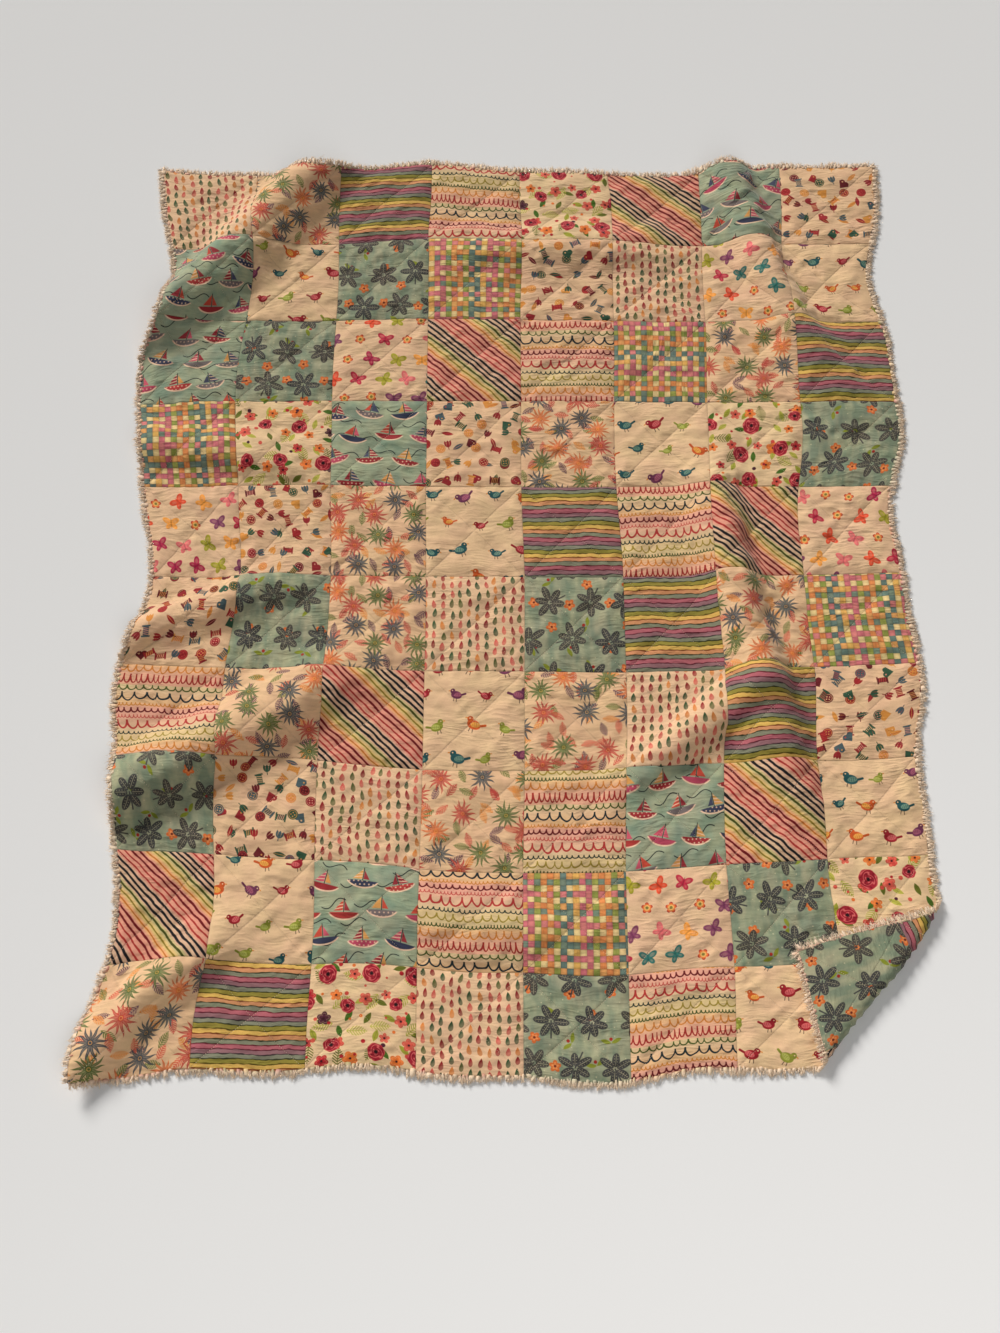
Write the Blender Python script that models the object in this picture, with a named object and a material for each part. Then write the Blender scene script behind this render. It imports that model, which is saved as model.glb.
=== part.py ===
"""A patchwork quilt with a raw, frayed edge, laid out on a floor with one corner turned back.

Every piece is first made flat, as it is cut and sewn: u runs across the quilt, v along it and w up
from its back. lay() then carries each point to where the cloth lies. Metres, +Z up. The front of
the quilt is at -Y, and the origin is the bottom centre of the whole thing.
"""

import math
from collections import namedtuple

import bmesh
import bpy
import numpy as np

INCH = 0.0254
PATCH = 6 * INCH  # side of a finished patch
COLUMNS = 8
ROWS = 10
HALF_WIDTH = COLUMNS * PATCH / 2
HALF_LENGTH = ROWS * PATCH / 2

# The quilted layers: two faces with thin wadding between them.
SEAM_THICKNESS = 0.0026  # where two patches are sewn together, and at the raw edge
STITCH_THICKNESS = 0.0032  # along the two crossed lines of stitches in each patch
PUFF_THICKNESS = 0.0062  # at the middle of each of the four puffs of a patch
PUFF_POWER = 0.8  # under 1 the puffs rise steeply from their stitches
PUFF_UNEVENNESS = 0.16  # share by which one puff's loft differs from the next
PUFF_STRIDES = (2.3, 4.1, 1.7)  # turns of the unevenness, in radians, a column, row and quarter
CELLS_PER_PATCH = 6  # mesh cells along the side of a patch
CELL = PATCH / CELLS_PER_PATCH

# The frayed edge: a narrow strip of loose threads along each side, drawn out into locks.
EDGE_GAP = 0.0005  # between the cloth's edge and the strip
STRIP_WIDTH = 0.004
STRIP_THICKNESS = 0.0022
LOCK_PITCH = 0.0185
LOCK_ROOT = (0.58, 0.80)  # least and greatest share of the pitch that a lock's root takes
LOCK_PLACE = (0.35, 0.65)  # least and greatest share of the free pitch before a lock's root
LOCK_LENGTH = (0.0070, 0.0115)
LOCK_LEAN = 0.0045  # how far a lock's tip may lie to one side of its root
LOCK_SEED = 48

# The corner that is turned back lies at the front right.
TURN_ALONG_SIDE = 0.240  # from the corner to where the fold leaves the right side
TURN_ALONG_FRONT = 0.190  # from the corner to where the fold leaves the front
ROLL_RADIUS = 0.0075  # of the cloth's back where it bends over
ROLL_STEPS = 6  # straight steps round the bend
CUT_TOLERANCE = 1e-6  # a cut this near a point goes through it

# Long soft ripples. Starts and ends are counted in patches from the front left corner, the rest is
# in metres: bow is how far the middle strays to the left of the straight line, half_width runs
# from the crest to the foot on either side, and lean makes the left side that share wider.
# The fades are shares of the length over which the ripple comes up and dies away.
Ripple = namedtuple(
    "Ripple", "name column row end_column end_row bow rise half_width lean fade_in fade_out"
)
RIPPLES = (
    Ripple("left sweep", -0.9, 2.15, 2.9, 4.45, -0.020, 0.038, 0.078, 0.15, 0.10, 0.45),
    Ripple("left crease", -0.7, 4.00, 2.2, 5.15, 0.014, 0.019, 0.052, -0.10, 0.12, 0.45),
    Ripple("left middle", -0.8, 6.55, 2.6, 6.05, 0.012, 0.016, 0.058, 0.10, 0.15, 0.50),
    Ripple("right side", 5.95, 7.10, 7.05, 1.75, -0.030, 0.032, 0.074, -0.12, 0.35, 0.35),
    Ripple("right fold", 4.60, 2.50, 6.95, 4.10, 0.016, 0.021, 0.055, 0.10, 0.40, 0.30),
    Ripple("far left", 2.10, 10.7, -0.8, 7.55, 0.034, 0.036, 0.086, 0.15, 0.15, 0.15),
    Ripple("far right", 6.20, 10.7, 7.75, 6.60, -0.030, 0.030, 0.068, -0.12, 0.15, 0.45),
    Ripple("far crest", 2.60, 8.75, 6.20, 8.95, 0.018, 0.016, 0.072, 0.00, 0.35, 0.35),
    Ripple("near left", -0.5, -0.45, 1.85, 1.90, 0.010, 0.024, 0.062, 0.08, 0.12, 0.55),
    Ripple("near middle", 1.90, 1.75, 5.30, 1.45, -0.020, 0.013, 0.075, 0.00, 0.35, 0.40),
)
RIPPLE_REACH = 0.36  # how far beside a ripple the cloth is drawn in by it

# The edges wander in and out. swing is how far, wave the length of one wander.
Edge = namedtuple("Edge", "name across side swing wave phase")
EDGES = (
    Edge("left", True, -1, 0.018, 0.530, 1.25),
    Edge("left, finer", True, -1, 0.005, 0.270, 2.1),
    Edge("right", True, 1, 0.011, 0.460, 3.65),
    Edge("right, finer", True, 1, 0.004, 0.210, 0.9),
    Edge("front", False, -1, 0.007, 0.550, 4.0),
    Edge("front, finer", False, -1, 0.004, 0.240, 1.3),
    Edge("back", False, 1, 0.010, 0.660, 2.7),
    Edge("back, finer", False, 1, 0.004, 0.290, 5.2),
)
EDGE_POWER = 3  # how fast an edge's wander dies away towards the middle

# Corners are drawn out into points. across and along say which corner it is.
Corner = namedtuple("Corner", "name across along pull_across pull_along")
CORNERS = (
    Corner("near left", -1, -1, 0.014, 0.026),
    Corner("far left", -1, 1, 0.009, 0.013),
    Corner("far right", 1, 1, 0.007, 0.006),
)
CORNER_POWER = 5  # how fast a corner's pull dies away

SAG = 0.028  # how far the middle of the rows bows to the front
SAG_ROW = 1.8  # the row, counted as above, that bows the most
SAG_REACH = 0.45

SLOPE_STEP = 0.0004  # step over which the cloth's slope is measured

Side = namedtuple("Side", "name corner run out length")
SIDES = (
    Side("front", (-1, -1), (1, 0), (0, -1), COLUMNS * PATCH),
    Side("back", (-1, 1), (1, 0), (0, 1), COLUMNS * PATCH),
    Side("left", (-1, -1), (0, 1), (-1, 0), ROWS * PATCH),
    Side("right", (1, -1), (0, 1), (1, 0), ROWS * PATCH),
)

QUILT_COLOUR = (0.66, 0.52, 0.42)
FRINGE_COLOUR = (0.78, 0.64, 0.54)
CLOTH_ROUGHNESS = 0.92


def smooth(value):
    """A soft step: 0 below 0, 1 above 1, level at both ends."""
    value = np.clip(value, 0, 1)
    return value * value * (3 - 2 * value)


def fold_line():
    """A point on the turned corner's fold and the flat direction from it towards the corner."""
    length = math.hypot(TURN_ALONG_SIDE, TURN_ALONG_FRONT)
    towards = np.array([TURN_ALONG_SIDE, -TURN_ALONG_FRONT]) / length
    return np.array([HALF_WIDTH, TURN_ALONG_SIDE - HALF_LENGTH]), towards


def turn_corner(u, v):
    """Where points of the flat cloth go when the corner is rolled back: x, y and height."""
    point, towards = fold_line()
    past = (u - point[0]) * towards[0] + (v - point[1]) * towards[1]
    angle = np.clip(past / ROLL_RADIUS, 0, math.pi)
    reached = np.where(past < 0, past, ROLL_RADIUS * np.sin(angle))
    reached = reached - np.maximum(past - math.pi * ROLL_RADIUS, 0)
    height = ROLL_RADIUS * (1 - np.cos(angle))
    return u + (reached - past) * towards[0], v + (reached - past) * towards[1], height


def ripple_lift(ripple, x, y):
    """How far one ripple lifts each point, and how far it draws it in along x and y."""
    start = np.array([(ripple.column - COLUMNS / 2) * PATCH, (ripple.row - ROWS / 2) * PATCH])
    end = np.array([(ripple.end_column - COLUMNS / 2) * PATCH, (ripple.end_row - ROWS / 2) * PATCH])
    length = math.dist(start, end)
    along = (end - start) / length
    left = np.array([-along[1], along[0]])
    share = ((x - start[0]) * along[0] + (y - start[1]) * along[1]) / length
    beside = (x - start[0]) * left[0] + (y - start[1]) * left[1]
    beside = beside - ripple.bow * 4 * share * (1 - share)
    fade = smooth(share / ripple.fade_in) * smooth((1 - share) / ripple.fade_out)
    half_width = ripple.half_width * (1 + ripple.lean * np.sign(beside))
    outward = np.clip(np.abs(beside) / half_width, 0, 1)
    lift = ripple.rise * fade * np.cos(outward * math.pi / 2) ** 2
    # Half of the extra cloth that a cosine ridge of this rise and width takes up.
    taken = (math.pi * ripple.rise * fade) ** 2 / (16 * half_width)
    profile = outward - np.sin(2 * math.pi * outward) / (2 * math.pi)
    beyond = np.maximum(np.abs(beside) - half_width, 0) / RIPPLE_REACH
    draw = -np.sign(beside) * taken * profile * np.exp(-beyond * beyond)
    return lift, draw * left[0], draw * left[1]


def edge_wander(edge, x, y):
    """How far one edge's wander moves each point outward, at right angles to that edge."""
    outward, along = (x / HALF_WIDTH, y) if edge.across else (y / HALF_LENGTH, x)
    weight = np.clip(edge.side * outward, 0, 1) ** EDGE_POWER
    return edge.swing * weight * np.sin(2 * math.pi * along / edge.wave + edge.phase)


def back_of_cloth(u, v):
    """Where the cloth's back lies for points (u, v) of the flat quilt, as an array of x, y, z."""
    x, y, z = turn_corner(u, v)
    move_x = np.zeros_like(x)
    move_y = np.zeros_like(y)
    for ripple in RIPPLES:
        lift, draw_x, draw_y = ripple_lift(ripple, x, y)
        z = z + lift
        move_x += draw_x
        move_y += draw_y
    for edge in EDGES:
        wander = edge_wander(edge, x, y)
        if edge.across:
            move_x += wander
        else:
            move_y += wander
    across = x / HALF_WIDTH
    along = y / HALF_LENGTH
    from_sag = (y - (SAG_ROW - ROWS / 2) * PATCH) / SAG_REACH
    move_y -= SAG * np.clip(1 - across * across, 0, 1) * np.exp(-from_sag * from_sag)
    for corner in CORNERS:
        nearness = np.clip(corner.across * across, 0, 1) * np.clip(corner.along * along, 0, 1)
        weight = nearness**CORNER_POWER
        move_x += corner.across * corner.pull_across * weight
        move_y += corner.along * corner.pull_along * weight
    return np.stack([x + move_x, y + move_y, z], axis=1)


def lay(points):
    """Carries flat points (u, v, w) to where the cloth lies, w along the cloth's own normal."""
    u, v, w = points.T
    step = SLOPE_STEP
    across = back_of_cloth(u + step, v) - back_of_cloth(u - step, v)
    along = back_of_cloth(u, v + step) - back_of_cloth(u, v - step)
    normal = np.cross(across, along)
    normal /= np.linalg.norm(normal, axis=1)[:, None]
    return back_of_cloth(u, v) + normal * w[:, None]


def quilted_thickness(u, v):
    """Thickness of the cloth at points of its face: thin at seams and stitches, full in puffs."""
    from_left = (u + HALF_WIDTH) / PATCH
    from_front = (v + HALF_LENGTH) / PATCH
    column = np.clip(np.floor(from_left), 0, COLUMNS - 1)
    row = np.clip(np.floor(from_front), 0, ROWS - 1)
    a = (from_left - column - 0.5) * PATCH
    b = (from_front - row - 0.5) * PATCH
    to_seam = PATCH / 2 - np.maximum(np.abs(a), np.abs(b))
    to_stitches = np.abs(np.abs(a) - np.abs(b)) / math.sqrt(2)
    puff_radius = PATCH * (math.sqrt(2) - 1) / 2
    to_either = np.clip(np.minimum(to_seam, to_stitches) / puff_radius, 0, 1)
    puff = np.sin(to_either * math.pi / 2) ** PUFF_POWER
    quarter = np.where(np.abs(a) > np.abs(b), np.sign(a), 2 * np.sign(b))
    turns = PUFF_STRIDES[0] * column + PUFF_STRIDES[1] * row + PUFF_STRIDES[2] * quarter
    unevenness = 1 + PUFF_UNEVENNESS * np.sin(turns)
    base = SEAM_THICKNESS + (STITCH_THICKNESS - SEAM_THICKNESS) * smooth(to_seam / CELL)
    return base + (PUFF_THICKNESS - STITCH_THICKNESS) * puff * unevenness


def cut_for_roll(mesh):
    """Cuts the flat mesh along straight lines beside the fold, so that it can bend round it."""
    point, towards = fold_line()
    for step in range(ROLL_STEPS + 1):
        past = math.pi * ROLL_RADIUS * step / ROLL_STEPS
        place = point + past * towards
        bmesh.ops.bisect_plane(
            mesh,
            geom=[*mesh.verts, *mesh.edges, *mesh.faces],
            dist=CUT_TOLERANCE,
            plane_co=(place[0], place[1], 0),
            plane_no=(towards[0], towards[1], 0),
        )
    wide_faces = [face for face in mesh.faces if len(face.verts) > 3]
    bmesh.ops.triangulate(mesh, faces=wide_faces)


def flat_mesh(points, faces):
    """An editing mesh of a closed flat body, its faces turned outwards and cut for the roll."""
    mesh = bmesh.new()
    corners = [mesh.verts.new(point) for point in points]
    for face in faces:
        mesh.faces.new([corners[index] for index in face])
    bmesh.ops.recalc_face_normals(mesh, faces=mesh.faces)
    cut_for_roll(mesh)
    return mesh


def grid_faces(first, columns, rows, upward):
    """Triangles of a grid whose diagonals lie along the crossed stitches of each patch."""
    middle = (CELLS_PER_PATCH - 1) / 2
    faces = []
    for row in range(rows):
        for column in range(columns):
            near_left = first + row * (columns + 1) + column
            near_right = near_left + 1
            far_left = near_left + columns + 1
            far_right = far_left + 1
            rising = (column % CELLS_PER_PATCH - middle) * (row % CELLS_PER_PATCH - middle) > 0
            if rising:
                pair = [(near_left, near_right, far_right), (near_left, far_right, far_left)]
            else:
                pair = [(near_left, near_right, far_left), (near_right, far_right, far_left)]
            faces += pair if upward else [face[::-1] for face in pair]
    return faces


def border_rows(columns, rows):
    """The grid points along the front, back, left and right borders, each in rising order."""
    width = columns + 1
    front = list(range(width))
    left = [row * width for row in range(rows + 1)]
    return front, [rows * width + at for at in front], left, [at + columns for at in left]


def wall_faces(low, high):
    """Triangles of the wall between two rows of points, one above the other."""
    faces = []
    for at in range(len(low) - 1):
        faces.append((low[at], low[at + 1], high[at + 1]))
        faces.append((low[at], high[at + 1], high[at]))
    return faces


def quilt_flat():
    """The quilt's sewn body, flat: its back on w = 0 and its quilted face above."""
    columns = COLUMNS * CELLS_PER_PATCH
    rows = ROWS * CELLS_PER_PATCH
    u, v = np.meshgrid(
        np.linspace(-HALF_WIDTH, HALF_WIDTH, columns + 1),
        np.linspace(-HALF_LENGTH, HALF_LENGTH, rows + 1),
    )
    u = u.ravel()
    v = v.ravel()
    back = np.stack([u, v, np.zeros_like(u)], axis=1)
    face = np.stack([u, v, quilted_thickness(u, v)], axis=1)
    count = len(u)
    faces = grid_faces(0, columns, rows, False) + grid_faces(count, columns, rows, True)
    for border in border_rows(columns, rows):
        faces += wall_faces(border, [at + count for at in border])
    return flat_mesh(np.concatenate([back, face]).tolist(), faces)


def zip_faces(inner, outer, inner_places, outer_places):
    """Triangles between two rows of points, whichever row is behind moving on first."""
    faces = []
    here = there = 0
    while here + 1 < len(inner) or there + 1 < len(outer):
        inner_next = inner_places[here + 1] if here + 1 < len(inner) else math.inf
        outer_next = outer_places[there + 1] if there + 1 < len(outer) else math.inf
        if inner_next <= outer_next:
            faces.append((inner[here], outer[there], inner[here + 1]))
            here += 1
        else:
            faces.append((inner[here], outer[there], outer[there + 1]))
            there += 1
    return faces


def lock_places(length, random):
    """Where each lock's root starts and ends along a side, and its tip: along, outward."""
    count = round(length / LOCK_PITCH)
    pitch = length / count
    places = []
    for index in range(count):
        root = random.uniform(*LOCK_ROOT) * pitch
        start = index * pitch + (pitch - root) * random.uniform(*LOCK_PLACE)
        tip = start + root / 2 + random.uniform(-LOCK_LEAN, LOCK_LEAN)
        places.append((start, start + root, tip, random.uniform(*LOCK_LENGTH)))
    return places


def fringe_flat(side, random):
    """One side's frayed strip, flat: a narrow band with pointed locks along its outer edge."""
    locks = lock_places(side.length, random)
    cells = round(side.length / CELL)
    inner_places = [index * CELL for index in range(cells + 1)]
    roots = [place for lock in locks for place in lock[:2]]
    outer_places = [0.0, *roots, side.length]
    points = []

    def add_row(places, outward, height):
        first = len(points)
        points.extend((place, outward, height) for place in places)
        return list(range(first, len(points)))

    inner_edge = EDGE_GAP
    outer_edge = EDGE_GAP + STRIP_WIDTH
    inner_low = add_row(inner_places, inner_edge, 0)
    inner_high = add_row(inner_places, inner_edge, STRIP_THICKNESS)
    outer_low = add_row(outer_places, outer_edge, 0)
    outer_high = add_row(outer_places, outer_edge, STRIP_THICKNESS)
    faces = zip_faces(inner_low, outer_low, inner_places, outer_places)
    faces += zip_faces(inner_high, outer_high, inner_places, outer_places)
    faces += wall_faces(inner_low, inner_high)
    for at in (0, -1):
        faces.append((inner_low[at], outer_low[at], outer_high[at], inner_high[at]))
    for gap in range(0, len(outer_places), 2):
        faces.append((outer_low[gap], outer_low[gap + 1], outer_high[gap + 1], outer_high[gap]))
    for index, (_, _, tip_place, tip_reach) in enumerate(locks):
        start = 2 * index + 1
        tip = len(points)
        points.append((tip_place, outer_edge + tip_reach, 0))
        root = (outer_low[start], outer_low[start + 1], outer_high[start + 1], outer_high[start])
        faces += [(here, ahead, tip) for here, ahead in zip(root, root[1:] + root[:1])]
    corner = (side.corner[0] * HALF_WIDTH, side.corner[1] * HALF_LENGTH)
    flat = [
        (
            corner[0] + along * side.run[0] + outward * side.out[0],
            corner[1] + along * side.run[1] + outward * side.out[1],
            height,
        )
        for along, outward, height in points
    ]
    return flat_mesh(flat, faces)


def cloth_material(name, colour):
    """A dry, matt cotton of one colour."""
    material = bpy.data.materials.new(name)
    material.use_nodes = True
    shader = material.node_tree.nodes["Principled BSDF"]
    shader.inputs["Base Color"].default_value = (*colour, 1)
    shader.inputs["Roughness"].default_value = CLOTH_ROUGHNESS
    shader.inputs["Metallic"].default_value = 0.0
    return material


def add_laid_object(name, flat, material):
    """Turns a flat editing mesh into an object whose points lie where the cloth does."""
    mesh = bpy.data.meshes.new(name)
    flat.to_mesh(mesh)
    flat.free()
    points = np.empty(len(mesh.vertices) * 3)
    mesh.vertices.foreach_get("co", points)
    mesh.vertices.foreach_set("co", lay(points.reshape(-1, 3)).ravel())
    mesh.update()
    mesh.materials.append(material)
    mesh.shade_smooth()
    piece = bpy.data.objects.new(name, mesh)
    bpy.context.scene.collection.objects.link(piece)
    return piece


def centre_on_floor(pieces):
    """Moves all pieces sideways together, so that the middle of their box is over the origin."""
    clouds = []
    for piece in pieces:
        points = np.empty(len(piece.data.vertices) * 3)
        piece.data.vertices.foreach_get("co", points)
        clouds.append(points.reshape(-1, 3))
    everything = np.concatenate(clouds)
    middle = (everything.min(axis=0) + everything.max(axis=0)) / 2
    middle[2] = 0
    for piece, points in zip(pieces, clouds):
        piece.data.vertices.foreach_set("co", (points - middle).ravel())
        piece.data.update()


def main():
    """Clears the scene and makes the quilt and its four frayed edges."""
    for old in list(bpy.data.objects):
        bpy.data.objects.remove(old, do_unlink=True)
    quilt = add_laid_object("quilt", quilt_flat(), cloth_material("patchwork", QUILT_COLOUR))
    pieces = [quilt]
    random = np.random.default_rng(LOCK_SEED)
    for side in SIDES:
        name = f"fringe_{side.name}"
        strip = fringe_flat(side, random)
        pieces.append(add_laid_object(name, strip, cloth_material(name, FRINGE_COLOUR)))
    centre_on_floor(pieces)


main()
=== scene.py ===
"""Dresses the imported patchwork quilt: printed patches, crossed stitching and a raw, frayed edge.

The quilt is first described flat, as it is cut and sewn: u runs across it and v along it from its
middle, w up from its back, in metres. ClothLie carries every flat point to where the cloth lies.
Each print is drawn in shader nodes by formulas over its patch's own millimetres.
"""

import logging
import math
from dataclasses import dataclass, field, replace
from enum import Enum
from typing import Callable, Protocol, Sequence, Union

import bpy
import numpy as np
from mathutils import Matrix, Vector


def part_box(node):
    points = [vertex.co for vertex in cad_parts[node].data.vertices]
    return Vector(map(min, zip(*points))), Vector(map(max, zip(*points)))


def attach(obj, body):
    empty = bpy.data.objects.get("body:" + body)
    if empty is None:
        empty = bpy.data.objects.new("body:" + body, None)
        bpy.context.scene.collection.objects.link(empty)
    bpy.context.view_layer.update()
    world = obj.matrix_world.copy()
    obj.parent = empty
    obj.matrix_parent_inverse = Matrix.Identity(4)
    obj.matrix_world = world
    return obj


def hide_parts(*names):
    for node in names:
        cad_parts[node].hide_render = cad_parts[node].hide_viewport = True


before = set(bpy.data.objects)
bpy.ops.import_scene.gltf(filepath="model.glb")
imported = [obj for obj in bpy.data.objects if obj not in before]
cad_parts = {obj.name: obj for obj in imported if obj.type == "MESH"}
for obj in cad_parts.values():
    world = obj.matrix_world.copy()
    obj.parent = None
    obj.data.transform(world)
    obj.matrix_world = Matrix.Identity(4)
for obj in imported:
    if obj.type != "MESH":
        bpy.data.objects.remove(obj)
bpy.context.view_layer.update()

LOG = logging.getLogger("quilt")

INCH = 0.0254
PATCH = 6 * INCH  # side of a finished patch
COLUMNS = 8
ROWS = 10
HALF_WIDTH = COLUMNS * PATCH / 2
HALF_LENGTH = ROWS * PATCH / 2
PATCH_MM = PATCH * 1000

Object, Material, NodeTree = bpy.types.Object, bpy.types.Material, bpy.types.NodeTree
Array = np.ndarray
Triple = tuple[Array, Array, Array]
Pair = tuple[float, float]
Colour = tuple[float, float, float, float]
Inks = tuple[Colour, ...]
Number = Union["Wire", float]
Dye = Union["Wire", Colour]


def smooth(value: Array) -> Array:
    """A soft step: 0 below 0, 1 above 1, level at both ends."""
    value = np.clip(value, 0, 1)
    return value * value * (3 - 2 * value)


def lattice_noise(x: Array, y: Array, seed: float) -> Array:
    """Smooth noise: a hashed value at each whole point, blended between them by soft steps.

    Args:
        x, y: places, in lattice steps.
        seed: another seed gives other noise.

    Returns:
        Values from -1 to 1.
    """
    left, low = np.floor(x), np.floor(y)
    right_share, high_share = smooth(x - left), smooth(y - low)

    def value(column: Array, row: Array) -> Array:
        """The hashed value of a whole point: the far digits of a sine."""
        mixed = np.sin(column * 127.1 + row * 311.7 + seed * 74.7) * 43758.5453
        return 2 * (mixed - np.floor(mixed)) - 1

    near = value(left, low) * (1 - right_share) + value(left + 1, low) * right_share
    far = value(left, low + 1) * (1 - right_share) + value(left + 1, low + 1) * right_share
    return near * (1 - high_share) + far * high_share


def ink(red: int, green: int, blue: int) -> Colour:
    """A colour as it looks on a screen, 0 to 255, turned into the linear values of a shader."""
    shown = np.array([red, green, blue]) / 255
    linear = np.where(shown <= 0.04045, shown / 12.92, ((shown + 0.055) / 1.055) ** 2.4)
    return (float(linear[0]), float(linear[1]), float(linear[2]), 1.0)


def palette(*shown: tuple[int, int, int]) -> Inks:
    """Several colours, each as it looks on a screen."""
    return tuple(ink(*colour) for colour in shown)


# -------- where the cloth lies


@dataclass(frozen=True)
class Ripple:
    """One long soft ripple. Its ends are counted in patches from the front left corner.

    bow is how far its middle strays to the left, half_width runs from crest to foot, lean makes
    the left side that share wider, and the fades are the shares over which it comes and goes.
    """

    name: str
    start: Pair
    end: Pair
    bow: float
    rise: float
    half_width: float
    lean: float
    fade_in: float
    fade_out: float
    reach: float = 0.36  # how far beside it the cloth is drawn in

    def lift(self, x: Array, y: Array) -> Triple:
        """How far the ripple lifts points and draws them in.

        The lift is a squared cosine across the ripple. The cloth that this takes up is drawn in
        from both sides, less and less with distance.

        Args:
            x, y: points on the floor, in metres.

        Returns:
            The lift, and the moves along x and y.
        """
        middle = np.array([COLUMNS, ROWS]) / 2
        start = (np.array(self.start) - middle) * PATCH
        end = (np.array(self.end) - middle) * PATCH
        length = math.dist(start, end)
        along = (end - start) / length
        left = np.array([-along[1], along[0]])
        share = ((x - start[0]) * along[0] + (y - start[1]) * along[1]) / length
        beside = (x - start[0]) * left[0] + (y - start[1]) * left[1]
        beside = beside - self.bow * 4 * share * (1 - share)
        fade = smooth(share / self.fade_in) * smooth((1 - share) / self.fade_out)
        half_width = self.half_width * (1 + self.lean * np.sign(beside))
        outward = np.clip(np.abs(beside) / half_width, 0, 1)
        lift = self.rise * fade * np.cos(outward * math.pi / 2) ** 2
        taken = (math.pi * self.rise * fade) ** 2 / (16 * half_width)
        profile = outward - np.sin(2 * math.pi * outward) / (2 * math.pi)
        beyond = np.maximum(np.abs(beside) - half_width, 0) / self.reach
        draw = -np.sign(beside) * taken * profile * np.exp(-beyond * beyond)
        return lift, draw * left[0], draw * left[1]


@dataclass(frozen=True)
class EdgeWander:
    """A sine wander of one edge, which dies away towards the quilt's middle."""

    across: bool
    side: int
    swing: float
    wave: float
    phase: float
    power: float = 3

    def move(self, x: Array, y: Array) -> Array:
        """How far points move at right angles to the edge: a sine along it, weighted by nearness."""
        outward, along = (x / HALF_WIDTH, y) if self.across else (y / HALF_LENGTH, x)
        weight = np.clip(self.side * outward, 0, 1) ** self.power
        return self.swing * weight * np.sin(2 * math.pi * along / self.wave + self.phase)


@dataclass(frozen=True)
class CornerPull:
    """A corner that is drawn out into a point. across and along say which corner it is."""

    across: int
    along: int
    pull_across: float
    pull_along: float
    power: float = 5

    def nearness(self, across: Array, along: Array) -> Array:
        """A weight of 1 at the corner, dying away as a power of both places."""
        near = np.clip(self.across * across, 0, 1) * np.clip(self.along * along, 0, 1)
        return near**self.power


@dataclass(frozen=True)
class TurnedCorner:
    """The front right corner, rolled back over the quilt on a bend of one radius."""

    along_side: float = 0.240
    along_front: float = 0.190
    radius: float = 0.0075

    def past(self, u: Array, v: Array) -> tuple[Array, Array]:
        """How far flat points lie past the fold, and the direction from it to the corner."""
        towards = np.array([self.along_side, -self.along_front])
        towards = towards / math.hypot(self.along_side, self.along_front)
        fold = np.array([HALF_WIDTH, self.along_side - HALF_LENGTH])
        return (u - fold[0]) * towards[0] + (v - fold[1]) * towards[1], towards

    def roll(self, u: Array, v: Array) -> Triple:
        """Places and heights of flat points: straight, then a half circle, then straight back."""
        past, towards = self.past(u, v)
        angle = np.clip(past / self.radius, 0, math.pi)
        reached = np.where(past < 0, past, self.radius * np.sin(angle))
        reached = reached - np.maximum(past - math.pi * self.radius, 0)
        height = self.radius * (1 - np.cos(angle))
        return u + (reached - past) * towards[0], v + (reached - past) * towards[1], height

    def free(self, u: Array, v: Array) -> Array:
        """How free of the floor the back is: 0 up to the fold, 1 past the whole bend."""
        return smooth(self.past(u, v)[0] / (math.pi * self.radius))


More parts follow.
